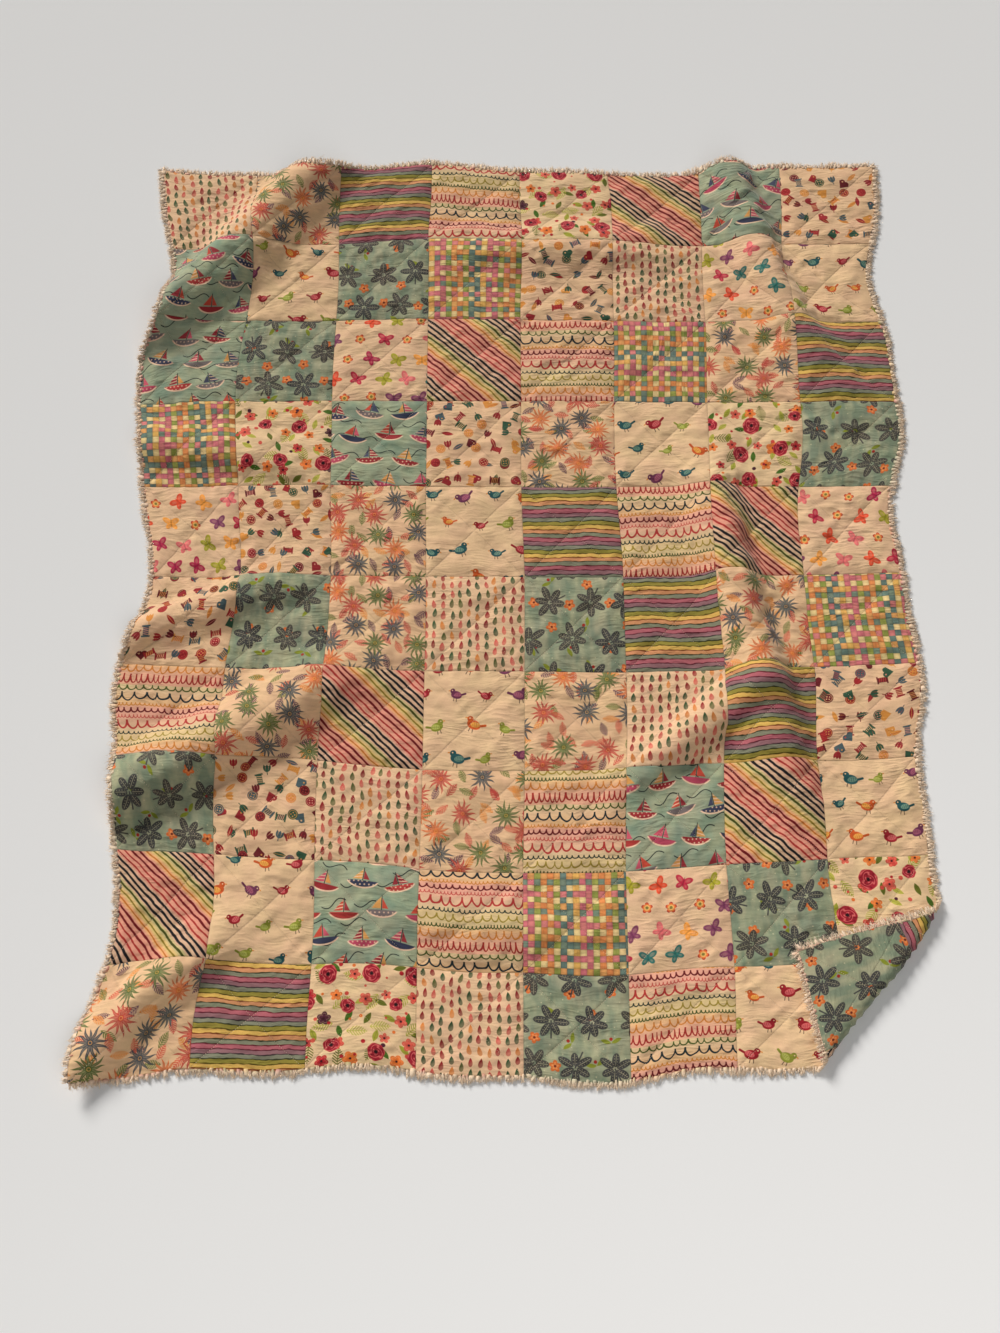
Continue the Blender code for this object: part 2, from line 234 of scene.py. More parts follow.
@dataclass(frozen=True)
class ClothLie:
    """Where the quilt lies: rippled, its edges wandering, one corner turned back."""

    ripples: tuple[Ripple, ...] = (
        Ripple("left sweep", (-0.9, 2.15), (2.9, 4.45), -0.020, 0.038, 0.078, 0.15, 0.10, 0.45),
        Ripple("left crease", (-0.7, 4.00), (2.2, 5.15), 0.014, 0.019, 0.052, -0.10, 0.12, 0.45),
        Ripple("left middle", (-0.8, 6.55), (2.6, 6.05), 0.012, 0.016, 0.058, 0.10, 0.15, 0.50),
        Ripple("right side", (5.95, 7.10), (7.05, 1.75), -0.030, 0.032, 0.074, -0.12, 0.35, 0.35),
        Ripple("right fold", (4.60, 2.50), (6.95, 4.10), 0.016, 0.021, 0.055, 0.10, 0.40, 0.30),
        Ripple("far left", (2.10, 10.7), (-0.8, 7.55), 0.034, 0.036, 0.086, 0.15, 0.15, 0.15),
        Ripple("far right", (6.20, 10.7), (7.75, 6.60), -0.030, 0.030, 0.068, -0.12, 0.15, 0.45),
        Ripple("far crest", (2.60, 8.75), (6.20, 8.95), 0.018, 0.016, 0.072, 0.00, 0.35, 0.35),
        Ripple("near left", (-0.5, -0.45), (1.85, 1.90), 0.010, 0.024, 0.062, 0.08, 0.12, 0.55),
        Ripple("near middle", (1.90, 1.75), (5.30, 1.45), -0.020, 0.013, 0.075, 0.00, 0.35, 0.40),
    )
    edges: tuple[EdgeWander, ...] = (
        EdgeWander(True, -1, 0.018, 0.530, 1.25),
        EdgeWander(True, -1, 0.005, 0.270, 2.1),
        EdgeWander(True, 1, 0.011, 0.460, 3.65),
        EdgeWander(True, 1, 0.004, 0.210, 0.9),
        EdgeWander(False, -1, 0.007, 0.550, 4.0),
        EdgeWander(False, -1, 0.004, 0.240, 1.3),
        EdgeWander(False, 1, 0.010, 0.660, 2.7),
        EdgeWander(False, 1, 0.004, 0.290, 5.2),
    )
    corners: tuple[CornerPull, ...] = (
        CornerPull(-1, -1, 0.014, 0.026),
        CornerPull(-1, 1, 0.009, 0.013),
        CornerPull(1, 1, 0.007, 0.006),
    )
    turned: TurnedCorner = TurnedCorner()
    sag: float = 0.028  # how far the middle of the rows bows to the front
    sag_row: float = 1.8
    sag_reach: float = 0.45
    slope_step: float = 0.0004
    shift: Pair = (0.0, 0.0)

    def back(self, u: Array, v: Array) -> Array:
        """Where the cloth's back lies: the rolled corner, then all lifts and moves added up.

        Args:
            u, v: flat places.

        Returns:
            Places in the frame, with x, y, z along the last axis.
        """
        x, y, z = self.turned.roll(u, v)
        move_x, move_y = np.zeros_like(x), np.zeros_like(y)
        for ripple in self.ripples:
            lift, draw_x, draw_y = ripple.lift(x, y)
            z = z + lift
            move_x += draw_x
            move_y += draw_y
        for edge in self.edges:
            if edge.across:
                move_x += edge.move(x, y)
            else:
                move_y += edge.move(x, y)
        across, along = x / HALF_WIDTH, y / HALF_LENGTH
        from_sag = (y - (self.sag_row - ROWS / 2) * PATCH) / self.sag_reach
        move_y -= self.sag * np.clip(1 - across * across, 0, 1) * np.exp(-from_sag * from_sag)
        for corner in self.corners:
            near = corner.nearness(across, along)
            move_x += corner.across * corner.pull_across * near
            move_y += corner.along * corner.pull_along * near
        return np.stack([x + move_x + self.shift[0], y + move_y + self.shift[1], z], axis=-1)

    def lay(self, flat: Array) -> Array:
        """Carries flat points to where the cloth lies, w along the cloth's own normal.

        Args:
            flat: points (u, v, w), as an array of any shape that ends in 3.

        Returns:
            The points in the frame, as rows of x, y, z.
        """
        u, v, w = flat.reshape(-1, 3).T
        step = self.slope_step
        across = self.back(u + step, v) - self.back(u - step, v)
        along = self.back(u, v + step) - self.back(u, v - step)
        normal = np.cross(across, along)
        normal /= np.linalg.norm(normal, axis=1)[:, None]
        return self.back(u, v) + normal * w[:, None]

    @classmethod
    def over_solid(cls) -> "ClothLie":
        """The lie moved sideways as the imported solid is, which has the middle of its box at 0."""
        lie = cls()
        cells = 6
        u, v = np.meshgrid(
            np.linspace(-HALF_WIDTH, HALF_WIDTH, COLUMNS * cells + 1),
            np.linspace(-HALF_LENGTH, HALF_LENGTH, ROWS * cells + 1),
        )
        both = [np.stack([u, v, w], axis=-1) for w in (np.zeros_like(u), Quilting().solid_face(u, v))]
        laid = lie.lay(np.stack(both))
        low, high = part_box("quilt")
        # The left and far edges are well away from the roll, whose cuts this grid doesn't have.
        return cls(shift=(low.x - laid[:, 0].min(), high.y - laid[:, 1].max()))


# -------- the quilted relief


@dataclass(frozen=True)
class Quilting:
    """The relief of the quilted layers: puffs between seams and crossed stitches, and puckers."""

    seam: float = 0.0026
    stitch: float = 0.0032
    puff: float = 0.0062
    power: float = 0.8  # under 1 the puffs rise steeply from their stitches
    unevenness: float = 0.16
    strides: tuple[float, float, float] = (2.3, 4.1, 1.7)
    seam_slope: float = PATCH / 6
    pucker: float = 0.00125  # height of the short wrinkles that run away from the thread
    pucker_pitch: float = 0.0105
    pucker_stretch: float = 4.0  # how many times longer than wide a pucker is
    pucker_reach: float = 0.026
    pucker_rest: float = 0.012  # how near a seam the stitches' puckers start to die away
    crinkles: tuple[tuple[float, float, float, float], ...] = (
        (0.036, 0.0080, 0.00095, 0.10), (0.021, 0.0130, 0.00110, -0.35), (0.052, 0.0260, 0.00150, 0.25),
    )  # the washed crinkle: each layer's pitch across and along, its height and its slant
    edge_share: float = 0.35  # what is left of puckers and crinkle at the quilt's edge
    edge_reach: float = 0.03
    least: float = 0.0012  # the cloth is never thinner than this
    dent: float = 0.0005  # how deep seams and stitches lie in the back
    dent_width: float = 0.006
    back_puff: float = 0.0020  # how far the back stands out where nothing presses on it
    grain: float = 0.00015  # height and pitch of the lying back's own unevenness
    grain_pitch: float = 0.009

    def place(self, u: Array, v: Array) -> tuple[Array, Array, Array, Array]:
        """The column and row of each point's patch, and its place from the patch's middle."""
        from_left, from_front = (u + HALF_WIDTH) / PATCH, (v + HALF_LENGTH) / PATCH
        column = np.clip(np.floor(from_left), 0, COLUMNS - 1)
        row = np.clip(np.floor(from_front), 0, ROWS - 1)
        return column, row, (from_left - column - 0.5) * PATCH, (from_front - row - 0.5) * PATCH

    def to_lines(self, a: Array, b: Array) -> tuple[Array, Array]:
        """How far a patch's places are from its nearest seam and from its crossed stitches."""
        across, along = np.abs(a), np.abs(b)
        return PATCH / 2 - np.maximum(across, along), np.abs(across - along) / math.sqrt(2)

    def loft(self, u: Array, v: Array) -> Array:
        """How full each puff is: a sine of the way to the nearest seam or stitches, 0 to 1."""
        column, row, a, b = self.place(u, v)
        to_seam, to_stitches = self.to_lines(a, b)
        radius = PATCH * (math.sqrt(2) - 1) / 2
        rise = np.sin(np.clip(np.minimum(to_seam, to_stitches) / radius, 0, 1) * math.pi / 2)
        quarter = np.where(np.abs(a) > np.abs(b), np.sign(a), 2 * np.sign(b))
        turns = self.strides[0] * column + self.strides[1] * row + self.strides[2] * quarter
        return rise**self.power * (1 + self.unevenness * np.sin(turns))

    def solid_face(self, u: Array, v: Array) -> Array:
        """The face's height as the solid has it: a base that sinks at the seams, and the puffs."""
        to_seam, _ = self.to_lines(*self.place(u, v)[2:])
        base = self.seam + (self.stitch - self.seam) * smooth(to_seam / self.seam_slope)
        return base + (self.puff - self.stitch) * self.loft(u, v)

    def wrinkles(self, u: Array, v: Array) -> Array:
        """Short wrinkles at right angles to seams and stitches, where the thread has drawn them.

        Noise that changes fast along a line of thread and slowly away from it, times a weight
        that falls with the distance from the line.
        """
        column, row, a, b = self.place(u, v)
        pitch, long_pitch = self.pucker_pitch, self.pucker_pitch * self.pucker_stretch
        seed = column * 3.1 + row * 7.7
        to_seam, _ = self.to_lines(a, b)
        rising, falling = (a + b) / math.sqrt(2), (a - b) / math.sqrt(2)
        total = np.zeros_like(u)
        for turn, (along, away) in enumerate(((rising, falling), (falling, rising))):
            noise = lattice_noise(along / pitch + seed, np.abs(away) / long_pitch, 2.0 + turn)
            total += noise * np.exp(-np.abs(away) / self.pucker_reach) * smooth(to_seam / self.pucker_rest)
        for along, away, seed_here in ((u, PATCH / 2 - np.abs(b), 5.0), (v, PATCH / 2 - np.abs(a), 6.0)):
            noise = lattice_noise(along / pitch, away / long_pitch, seed_here)
            total += noise * np.exp(-away / self.pucker_reach)
        return total * self.pucker

    def waves(self, u: Array, v: Array) -> Array:
        """The broad washed crinkle: layers of noise, each stretched across the quilt and slanted."""
        total = np.zeros_like(u)
        for seed, (pitch_u, pitch_v, height, slant) in enumerate(self.crinkles):
            total += height * lattice_noise(u / pitch_u, (v + slant * u) / pitch_v, 11.0 + seed)
        return total

    def face(self, u: Array, v: Array) -> Array:
        """The face's height: the solid's, with puckers, and crinkle that fades near the edges.

        Where the relief goes down it is bent by an exponential, so that it never reaches the back.
        """
        from_edge = np.minimum(HALF_WIDTH - np.abs(u), HALF_LENGTH - np.abs(v))
        kept = self.edge_share + (1 - self.edge_share) * smooth(from_edge / self.edge_reach)
        relief = (self.wrinkles(u, v) + self.waves(u, v)) * kept
        room = self.solid_face(u, v) - self.least
        return self.least + np.where(relief < 0, room * np.exp(np.minimum(relief, 0) / room), room + relief)

    def dents(self, u: Array, v: Array) -> Array:
        """Narrow dents along seams and stitches, 0 to 1: a bell of the distance to the nearest."""
        nearest = np.minimum(*self.to_lines(*self.place(u, v)[2:]))
        return np.exp(-((nearest / self.dent_width) ** 2))

    def reverse(self, u: Array, v: Array, free: Array) -> Array:
        """The back's height: flat but for its dents on the floor, puffed out where it is free.

        Args:
            u, v: flat places.
            free: 1 where nothing presses on the back, 0 on the floor.

        Returns:
            The heights, below 0 where the back stands out.
        """
        uneven = 1 + lattice_noise(u / self.grain_pitch, v / self.grain_pitch, 21.0)
        lying = self.dent * self.dents(u, v) + self.grain * uneven
        loose = -self.back_puff * self.loft(u, v) + 0.5 * (self.wrinkles(u, v) + self.waves(u, v))
        return lying * (1 - free) + loose * free

    def side(self, u: Array, v: Array, face: bool, corner: TurnedCorner) -> Array:
        """The height of the face, or of the back, which is free where the corner is turned."""
        return self.face(u, v) if face else self.reverse(u, v, corner.free(u, v))


# -------- shader arithmetic


def plug(tree: NodeTree, port: bpy.types.NodeSocket, value: Union[Number, Colour]) -> None:
    """Links a wire into a port, or sets the port to a plain number or colour."""
    if isinstance(value, Wire):
        tree.links.new(value.socket, port)
    else:
        port.default_value = value


def add_node(
    tree: NodeTree, kind: str, values: dict[Union[int, str], Union[Number, Colour]], **settings: object
) -> list["Wire"]:
    """Adds a node to a shader.

    Args:
        tree: the shader's tree.
        kind: the node's type.
        values: what each of its inputs holds or is linked to.
        settings: the node's own options.

    Returns:
        A wire from each of its outputs.
    """
    node = tree.nodes.new(kind)
    for name, setting in settings.items():
        setattr(node, name, setting)
    for port, value in values.items():
        plug(tree, node.inputs[port], value)
    return [Wire(tree, port) for port in node.outputs]


def once(operation: str) -> Callable[["Wire"], "Wire"]:
    """A method that puts a wire through a Math node by itself."""

    def put(self: "Wire") -> "Wire":
        """The Math node's result."""
        return self.math(operation, self)

    return put


def pairwise(operation: str, is_last: bool = False) -> Callable[["Wire", Number], "Wire"]:
    """A method that puts a wire through a Math node with another value, first or last of the two."""

    def put(self: "Wire", other: Number) -> "Wire":
        """The Math node's result."""
        return self.math(operation, other, self) if is_last else self.math(operation, self, other)

    return put


@dataclass(frozen=True)
class Wire:
    """A value that flows in a shader. Python's arithmetic on it adds Math nodes."""

    tree: NodeTree
    socket: bpy.types.NodeSocket

    def math(self, operation: str, *values: Number, clamp: bool = False) -> "Wire":
        """The result of a Math node on the given values, in the order in which they are given."""
        given = dict(enumerate(values))
        return add_node(self.tree, "ShaderNodeMath", given, operation=operation, use_clamp=clamp)[0]

    __abs__ = once("ABSOLUTE")
    floor = once("FLOOR")
    fraction = once("FRACT")  # what is left above the whole number below
    sine = once("SINE")
    cosine = once("COSINE")
    root = once("SQRT")
    __add__ = pairwise("ADD")
    __sub__ = pairwise("SUBTRACT")
    __rsub__ = pairwise("SUBTRACT", True)
    __mul__ = pairwise("MULTIPLY")
    __truediv__ = pairwise("DIVIDE")
    __pow__ = pairwise("POWER")
    wrapped = pairwise("FLOORED_MODULO")  # counted round and round from 0 to a top
    least = pairwise("MINIMUM")
    most = pairwise("MAXIMUM")
    above = pairwise("GREATER_THAN")  # 1 or 0
    below = pairwise("LESS_THAN")

    def clamped(self) -> "Wire":
        """This kept from 0 to 1."""
        return self.math("ADD", self, 0.0, clamp=True)

    def inside(self, edge: float = 0.7) -> "Wire":
        """How much ink lies at this distance from a shape's outline, with an edge that soft."""
        return self.math("MULTIPLY_ADD", self, -1 / edge, 0.5, clamp=True)

    def toned(self, tone: "Wire") -> "Wire":
        """This colour made lighter or darker by a factor."""
        return add_node(self.tree, "ShaderNodeVectorMath", {0: self, "Scale": tone}, operation="SCALE")[0]

    def tinted(self, tint: "Wire") -> "Wire":
        """This colour times a tint, value by value."""
        return add_node(self.tree, "ShaderNodeVectorMath", {0: self, 1: tint}, operation="MULTIPLY")[0]

    def deepened(self, power: float) -> "Wire":
        """This colour with its dark parts darker, by a power of each of its three values."""
        return add_node(self.tree, "ShaderNodeGamma", {0: self, 1: power})[0]


def reach_of(x: Wire, y: Wire) -> Wire:
    """The length of (x, y)."""
    return (x * x + y * y).root()


def disc(x: Wire, y: Wire, radius: Number) -> Wire:
    """Distance to a disc's outline."""
    return reach_of(x, y) - radius


def oval(x: Wire, y: Wire, half_width: float, half_height: float) -> Wire:
    """Distance, near enough, to an oval's outline."""
    return (reach_of(x / half_width, y / half_height) - 1) * min(half_width, half_height)


def lens(x: Wire, y: Wire, half_length: float, half_width: float) -> Wire:
    """How far y lies past the edge of a lens-shaped leaf, whose half width is a parabola of x."""
    return abs(y) - (1.0 - (x / half_length) ** 2.0) * half_width


def from_middle(place: Wire, pitch: float) -> Wire:
    """How far a place is from the middle of its own one of many even stretches."""
    return abs((place / pitch).fraction() - 0.5) * pitch


@dataclass(frozen=True)
class Feather:
    """A feathery leaf: slanting leaflets cut off by a lens, and a thin rib along the middle."""

    half_length: float
    half_width: float
    lean: float  # how far the leaflets run along the leaf for each step outwards
    pitch: float  # from one leaflet to the next
    leaflet: float  # half the width of a leaflet
    rib: float  # half the width of the rib, and half its length
    rib_reach: float

    def outline(self, x: Wire, y: Wire) -> Wire:
        """Distance, near enough, to the leaf's outline, from a place in it with x along it."""
        aside = abs(y)
        leaflets = from_middle(aside * self.lean - x, self.pitch) - self.leaflet
        rib = (aside - self.rib).most(abs(x) - self.rib_reach)
        return lens(x, y, self.half_length, self.half_width).most(leaflets).least(rib)


def rod(x: Wire, y: Wire, start: Pair, end: Pair, radius: float) -> Wire:
    """Distance to the outline of a round-ended rod: from the nearest point of its middle line."""
    run, rise = end[0] - start[0], end[1] - start[1]
    from_start = (x - start[0]) * run + (y - start[1]) * rise
    share = from_start.math("MULTIPLY", from_start, 1 / (run * run + rise * rise), clamp=True)
    return reach_of(x - start[0] - share * run, y - start[1] - share * rise) - radius


def turned(x: Wire, y: Wire, degrees: float) -> tuple[Wire, Wire]:
    """A place read in axes turned by a fixed angle."""
    cosine, sine = math.cos(math.radians(degrees)), math.sin(math.radians(degrees))
    return x * cosine + y * sine, y * cosine - x * sine


@dataclass(frozen=True)
class Cell:
    """One place of a scattered motif: x and y from its middle, and three random shares."""

    x: Wire
    y: Wire
    first: Wire
    second: Wire
    third: Wire


@dataclass(frozen=True)
class Press:
    """The tools that draw a print in the nodes of one material. Places are in millimetres."""

    tree: NodeTree
    x: Wire
    y: Wire
    patch_x: Wire
    patch_y: Wire

    @classmethod
    def on(cls, tree: NodeTree) -> "Press":
        """A press on a material's tree, which reads the maps named print and patch."""

        def read(name: str) -> tuple[Wire, Wire]:
            """The two places of a map, in millimetres."""
            place = add_node(tree, "ShaderNodeUVMap", {}, uv_map=name)[0]
            x, y, _ = add_node(tree, "ShaderNodeSeparateXYZ", {0: place})
            return x * 1000.0, y * 1000.0

        return cls(tree, *read("print"), *read("patch"))

    def vector(self, x: Number, y: Number, z: Number = 0.0) -> Wire:
        """Three values as one vector."""
        return add_node(self.tree, "ShaderNodeCombineXYZ", {0: x, 1: y, 2: z})[0]

    def noise(self, x: Wire, y: Wire, size: float, seed: float = 0.0, detail: float = 0.0) -> Wire:
        """Smooth noise of a size in millimetres, about -0.5 to 0.5."""
        place = self.vector(x, y, (seed + 0.37) * size)
        values = {"Vector": place, "Scale": 1 / size, "Detail": detail}
        return add_node(self.tree, "ShaderNodeTexNoise", values)[0] - 0.5

    def chance(self, x: Number, y: Number, seed: float) -> tuple[Wire, Wire, Wire]:
        """Three random shares for a pair of whole numbers."""
        colour = add_node(self.tree, "ShaderNodeTexWhiteNoise", {"Vector": self.vector(x, y, seed)})[1]
        return tuple(add_node(self.tree, "ShaderNodeSeparateColor", {0: colour}))

    def ramp(
        self, place: Wire, stops: Sequence[tuple[float, Colour]], blend: bool = False
    ) -> tuple[Wire, Wire]:
        """Looks a place from 0 to 1 up in a row of colours.

        Args:
            place: the share along the row.
            stops: where each colour starts, and the colour.
            blend: whether colours run into each other.

        Returns:
            The colour, and its fourth value.
        """
        node = self.tree.nodes.new("ShaderNodeValToRGB")
        bar = node.color_ramp
        bar.interpolation = "LINEAR" if blend else "CONSTANT"
        while len(bar.elements) > 1:
            bar.elements.remove(bar.elements[-1])
        for index, (position, colour) in enumerate(stops):
            stop = bar.elements[0] if index == 0 else bar.elements.new(position)
            stop.position = position
            stop.color = colour
        plug(self.tree, node.inputs[0], place)
        return Wire(self.tree, node.outputs[0]), Wire(self.tree, node.outputs[1])

    def amount(self, place: Wire, steps: Sequence[Pair]) -> Wire:
        """Looks a place from 0 to 1 up in a row of numbers from 0 to 1."""
        return self.ramp(place, [(start, (value, value, value, 1.0)) for start, value in steps])[0]

    def enlarged(self, factor: float) -> "Press":
        """A press whose drawing comes out larger by a factor."""
        return replace(self, x=self.x / factor, y=self.y / factor)

    def pick(self, share: Wire, inks: Sequence[Colour]) -> Wire:
        """One of several inks, by a share from 0 to 1."""
        return self.ramp(share, [(index / len(inks), colour) for index, colour in enumerate(inks)])[0]

    def lay(self, ground: Dye, colour: Dye, cover: Wire) -> Wire:
        """Ink laid on a ground where it covers."""
        values = {0: cover, 6: ground, 7: colour}
        return add_node(self.tree, "ShaderNodeMix", values, data_type="RGBA")[2]

    def to_lines(self) -> tuple[Wire, Wire]:
        """How far the place is from its patch's nearest seam and from its crossed stitches."""
        a, b = abs(self.patch_x), abs(self.patch_y)
        return PATCH_MM / 2 - a.most(b), abs(a - b) / math.sqrt(2)

    def drawn(self, swing: float, size: float) -> tuple[Wire, Wire]:
        """The print's place, swayed as a hand-drawn line sways."""
        sway_x = self.noise(self.x, self.y, size, 3.0) * swing
        sway_y = self.noise(self.x, self.y, size, 8.0) * swing
        return self.x + sway_x, self.y + sway_y

    def scatter(
        self,
        pitch: Pair,
        seed: float,
        shift: Pair = (0.0, 0.0),
        jitter: float = 0.0,
        turn: float = 0.0,
        mirror: bool = False,
    ) -> Cell:
        """Staggered places for a motif.

        Args:
            pitch: how far apart the places are, across and along, in millimetres.
            seed: another seed gives other shares.
            shift: how far all places are moved.
            jitter: how far a place may stray in all.
            turn: how far a motif may turn to either side, in degrees.
            mirror: whether half of the motifs are mirrored.

        Returns:
            The nearest place's cell.
        """
        up = (self.y + shift[1]) / pitch[1]
        row = up.floor()
        along = (self.x + shift[0]) / pitch[0] + row.wrapped(2.0) * 0.5
        column = along.floor()
        first, second, third = self.chance(column, row, seed)
        stray_x, stray_y, spin = self.chance(column, row, seed + 0.5)
        x = (along - column - 0.5) * pitch[0] + (stray_x - 0.5) * jitter
        y = (up - row - 0.5) * pitch[1] + (stray_y - 0.5) * jitter
        if turn:
            angle = (spin - 0.5) * math.radians(2 * turn)
            cosine, sine = angle.cosine(), angle.sine()
            x, y = x * cosine + y * sine, y * cosine - x * sine
        if mirror:
            x = x * (stray_x.above(0.5) * 2.0 - 1.0)
        return Cell(x, y, first, second, third)


# -------- the prints

CREAM = ink(221, 188, 153)
PALE_CREAM = ink(221, 190, 152)
SHELL_PINK = ink(219, 178, 150)


class Printed(Protocol):
    """What each print offers: the colours of its frayed threads, and its drawing."""

    threads: Inks

    def paint(self, press: Press) -> Wire:
        """Draws the print and returns its colour."""


@dataclass(frozen=True)
class StripesPrint:
    """Wavy hand-drawn bands with a thin dark line between each two."""

    repeat: float = 48.0
    bands: Inks = palette(
        (148, 138, 62), (214, 178, 98), (202, 146, 104), (134, 136, 114), (176, 104, 112),
        (146, 108, 112), (132, 134, 114),
    )
    lines: Inks = palette(
        (54, 58, 30), (84, 74, 16), (120, 66, 26), (56, 60, 36), (104, 30, 42), (92, 26, 44),
        (62, 50, 52),
    )
    threads: Inks = palette((142, 130, 60), (192, 102, 98), (220, 180, 110))

    def paint(self, press: Press) -> Wire:
        """Bands are looked up by the height, which noise sways, and lines lie on their borders."""
        count = len(self.bands)
        broad = press.noise(press.x, press.y * 0.6, 40.0, 1.0) * 6.0
        fine = press.noise(press.x, press.y * 1.6, 11.0, 3.0, 1.0) * 3.4
        place = (press.y * -1.0 + broad + fine) / self.repeat
        band = press.pick(place.fraction(), self.bands)
        line = press.pick((place + 0.5 / count).fraction(), self.lines)
        to_border = abs((place * count + 0.5).fraction() - 0.5) * (self.repeat / count)
        half = press.noise(press.x, press.y * 2.0, 8.0, 2.0) * 1.2 + 0.75
        return press.lay(band, line, (to_border - half).inside())


@dataclass(frozen=True)
class DiagonalPrint:
    """Slanting hand-drawn lines of changing colours on tinted grounds."""

    angle: float = 42.0
    pitch: float = 8.1
    lines: Inks = palette(
        (166, 52, 48), (166, 52, 48), (112, 18, 24), (112, 18, 24), (190, 116, 46), (138, 120, 40),
        (70, 78, 22), (24, 22, 26), (24, 22, 26), (24, 22, 26),
    )
    grounds: Inks = palette(
        (218, 156, 134), (218, 156, 134), (214, 148, 128), (216, 154, 132), (222, 172, 124),
        (212, 184, 124), (196, 180, 130), (206, 174, 144), (208, 176, 148), (210, 172, 146),
    )
    widths: tuple[float, ...] = (2.6, 2.6, 3.2, 3.2, 2.2, 2.4, 3.2, 3.7, 3.7, 3.7)
    threads: Inks = palette((176, 70, 60), (216, 170, 130), (60, 56, 54))

    def paint(self, press: Press) -> Wire:
        """Lines lie at even steps of the slanted place; ink, ground and width change by step."""
        count = len(self.lines)
        sway = press.noise(press.x, press.y, 20.0, 1.0) * 4.0
        slant = press.x * math.sin(math.radians(self.angle)) + press.y * math.cos(math.radians(self.angle))
        place = (slant + sway) / (self.pitch * count)
        share = place.fraction()
        ground = press.pick(share, self.grounds)
        line = press.pick(share, self.lines)
        widest = max(self.widths)
        steps = [(index / count, width / widest) for index, width in enumerate(self.widths)]
        half = press.amount(share, steps) * (widest / 2)
        middle = abs((place * count).fraction() - 0.5) * self.pitch
        rough = press.noise(press.x, press.y, 5.0, 2.0) * 0.9
        return press.lay(ground, line, (middle - half + rough).inside(0.8))


@dataclass(frozen=True)
class ScallopRow:
    """One row of looped line: where it starts, its height, its loops' width, all in millimetres."""

    start: float
    height: float
    loop: float
    thick: float
    line: Colour
    ground: Colour


@dataclass(frozen=True)
class ScallopsPrint:
    """Rows of looped pen lines, small and large, with their cusps up."""

    repeat: float = 140.0
    rows: tuple[ScallopRow, ...] = (
        ScallopRow(0.0, 9.5, 11.5, 2.0, ink(78, 92, 40), ink(212, 190, 146)),
        ScallopRow(11.0, 15.5, 17.0, 2.6, ink(32, 48, 52), ink(214, 184, 148)),
        ScallopRow(28.5, 7.0, 6.0, 1.6, ink(196, 132, 56), ink(222, 182, 136)),
        ScallopRow(37.0, 10.0, 9.5, 2.4, ink(106, 28, 32), ink(218, 164, 142)),
        ScallopRow(48.5, 7.0, 5.6, 1.5, ink(188, 90, 80), ink(220, 166, 144)),
        ScallopRow(57.0, 16.5, 15.0, 2.8, ink(174, 60, 56), ink(220, 176, 148)),
        ScallopRow(75.5, 7.5, 7.4, 1.8, ink(40, 58, 50), ink(210, 186, 148)),
        ScallopRow(84.5, 12.0, 13.0, 2.0, ink(156, 136, 58), ink(214, 190, 142)),
        ScallopRow(98.5, 7.0, 5.2, 1.7, ink(70, 86, 40), ink(212, 190, 146)),
        ScallopRow(107.0, 13.5, 12.0, 2.0, ink(198, 128, 58), ink(222, 180, 134)),
        ScallopRow(122.0, 16.0, 8.2, 2.1, ink(158, 50, 44), ink(220, 170, 142)),
    )
    threads: Inks = palette((210, 150, 80), (196, 84, 72), (214, 186, 130))

    def paint(self, press: Press) -> Wire:
        """Each row's sizes are looked up by the height; its line is a row of half ovals, open upwards."""
        sway = press.noise(press.x, press.y * 0.6, 30.0, 1.0) * 4.5
        down = ((press.y * -1.0 + sway) / self.repeat).fraction()
        largest = max(row.height for row in self.rows)
        starts = [row.start / self.repeat for row in self.rows]
        sizes = [
            (start, row.loop / largest, row.thick / largest, row.height / largest)
            for start, row in zip(starts, self.rows)
        ]
        table, height = press.ramp(down, list(zip(starts, sizes)))
        start, loop, thick = add_node(press.tree, "ShaderNodeSeparateColor", {0: table})
        half_loop, half_thick = loop * (largest / 2), thick * (largest / 2)
        ground = press.ramp(down, list(zip(starts, (row.ground for row in self.rows))), True)[0]
        line = press.ramp(down, list(zip(starts, (row.line for row in self.rows))))[0]
        uneven = press.noise(press.x, press.y * 0.3, 17.0, 5.0) * 7.0
        depth = press.noise(press.x, press.y * 0.4, 14.0, 6.0) * 0.6 + 0.9
        drop = (height * largest - half_thick * 2.0 - 0.6) * depth
        below = (down - start) * self.repeat - half_thick - 0.3
        beside = (((press.x + uneven) / half_loop * 0.5).fraction() - 0.5) * 2.0
        sunk = below / drop
        reach = reach_of(beside, sunk)
        slope = reach_of(beside / half_loop, sunk / drop)
        away = abs((reach - 1.0) * reach / slope).most(below * -1.0)
        return press.lay(ground, line, (away - half_thick).inside(0.5))


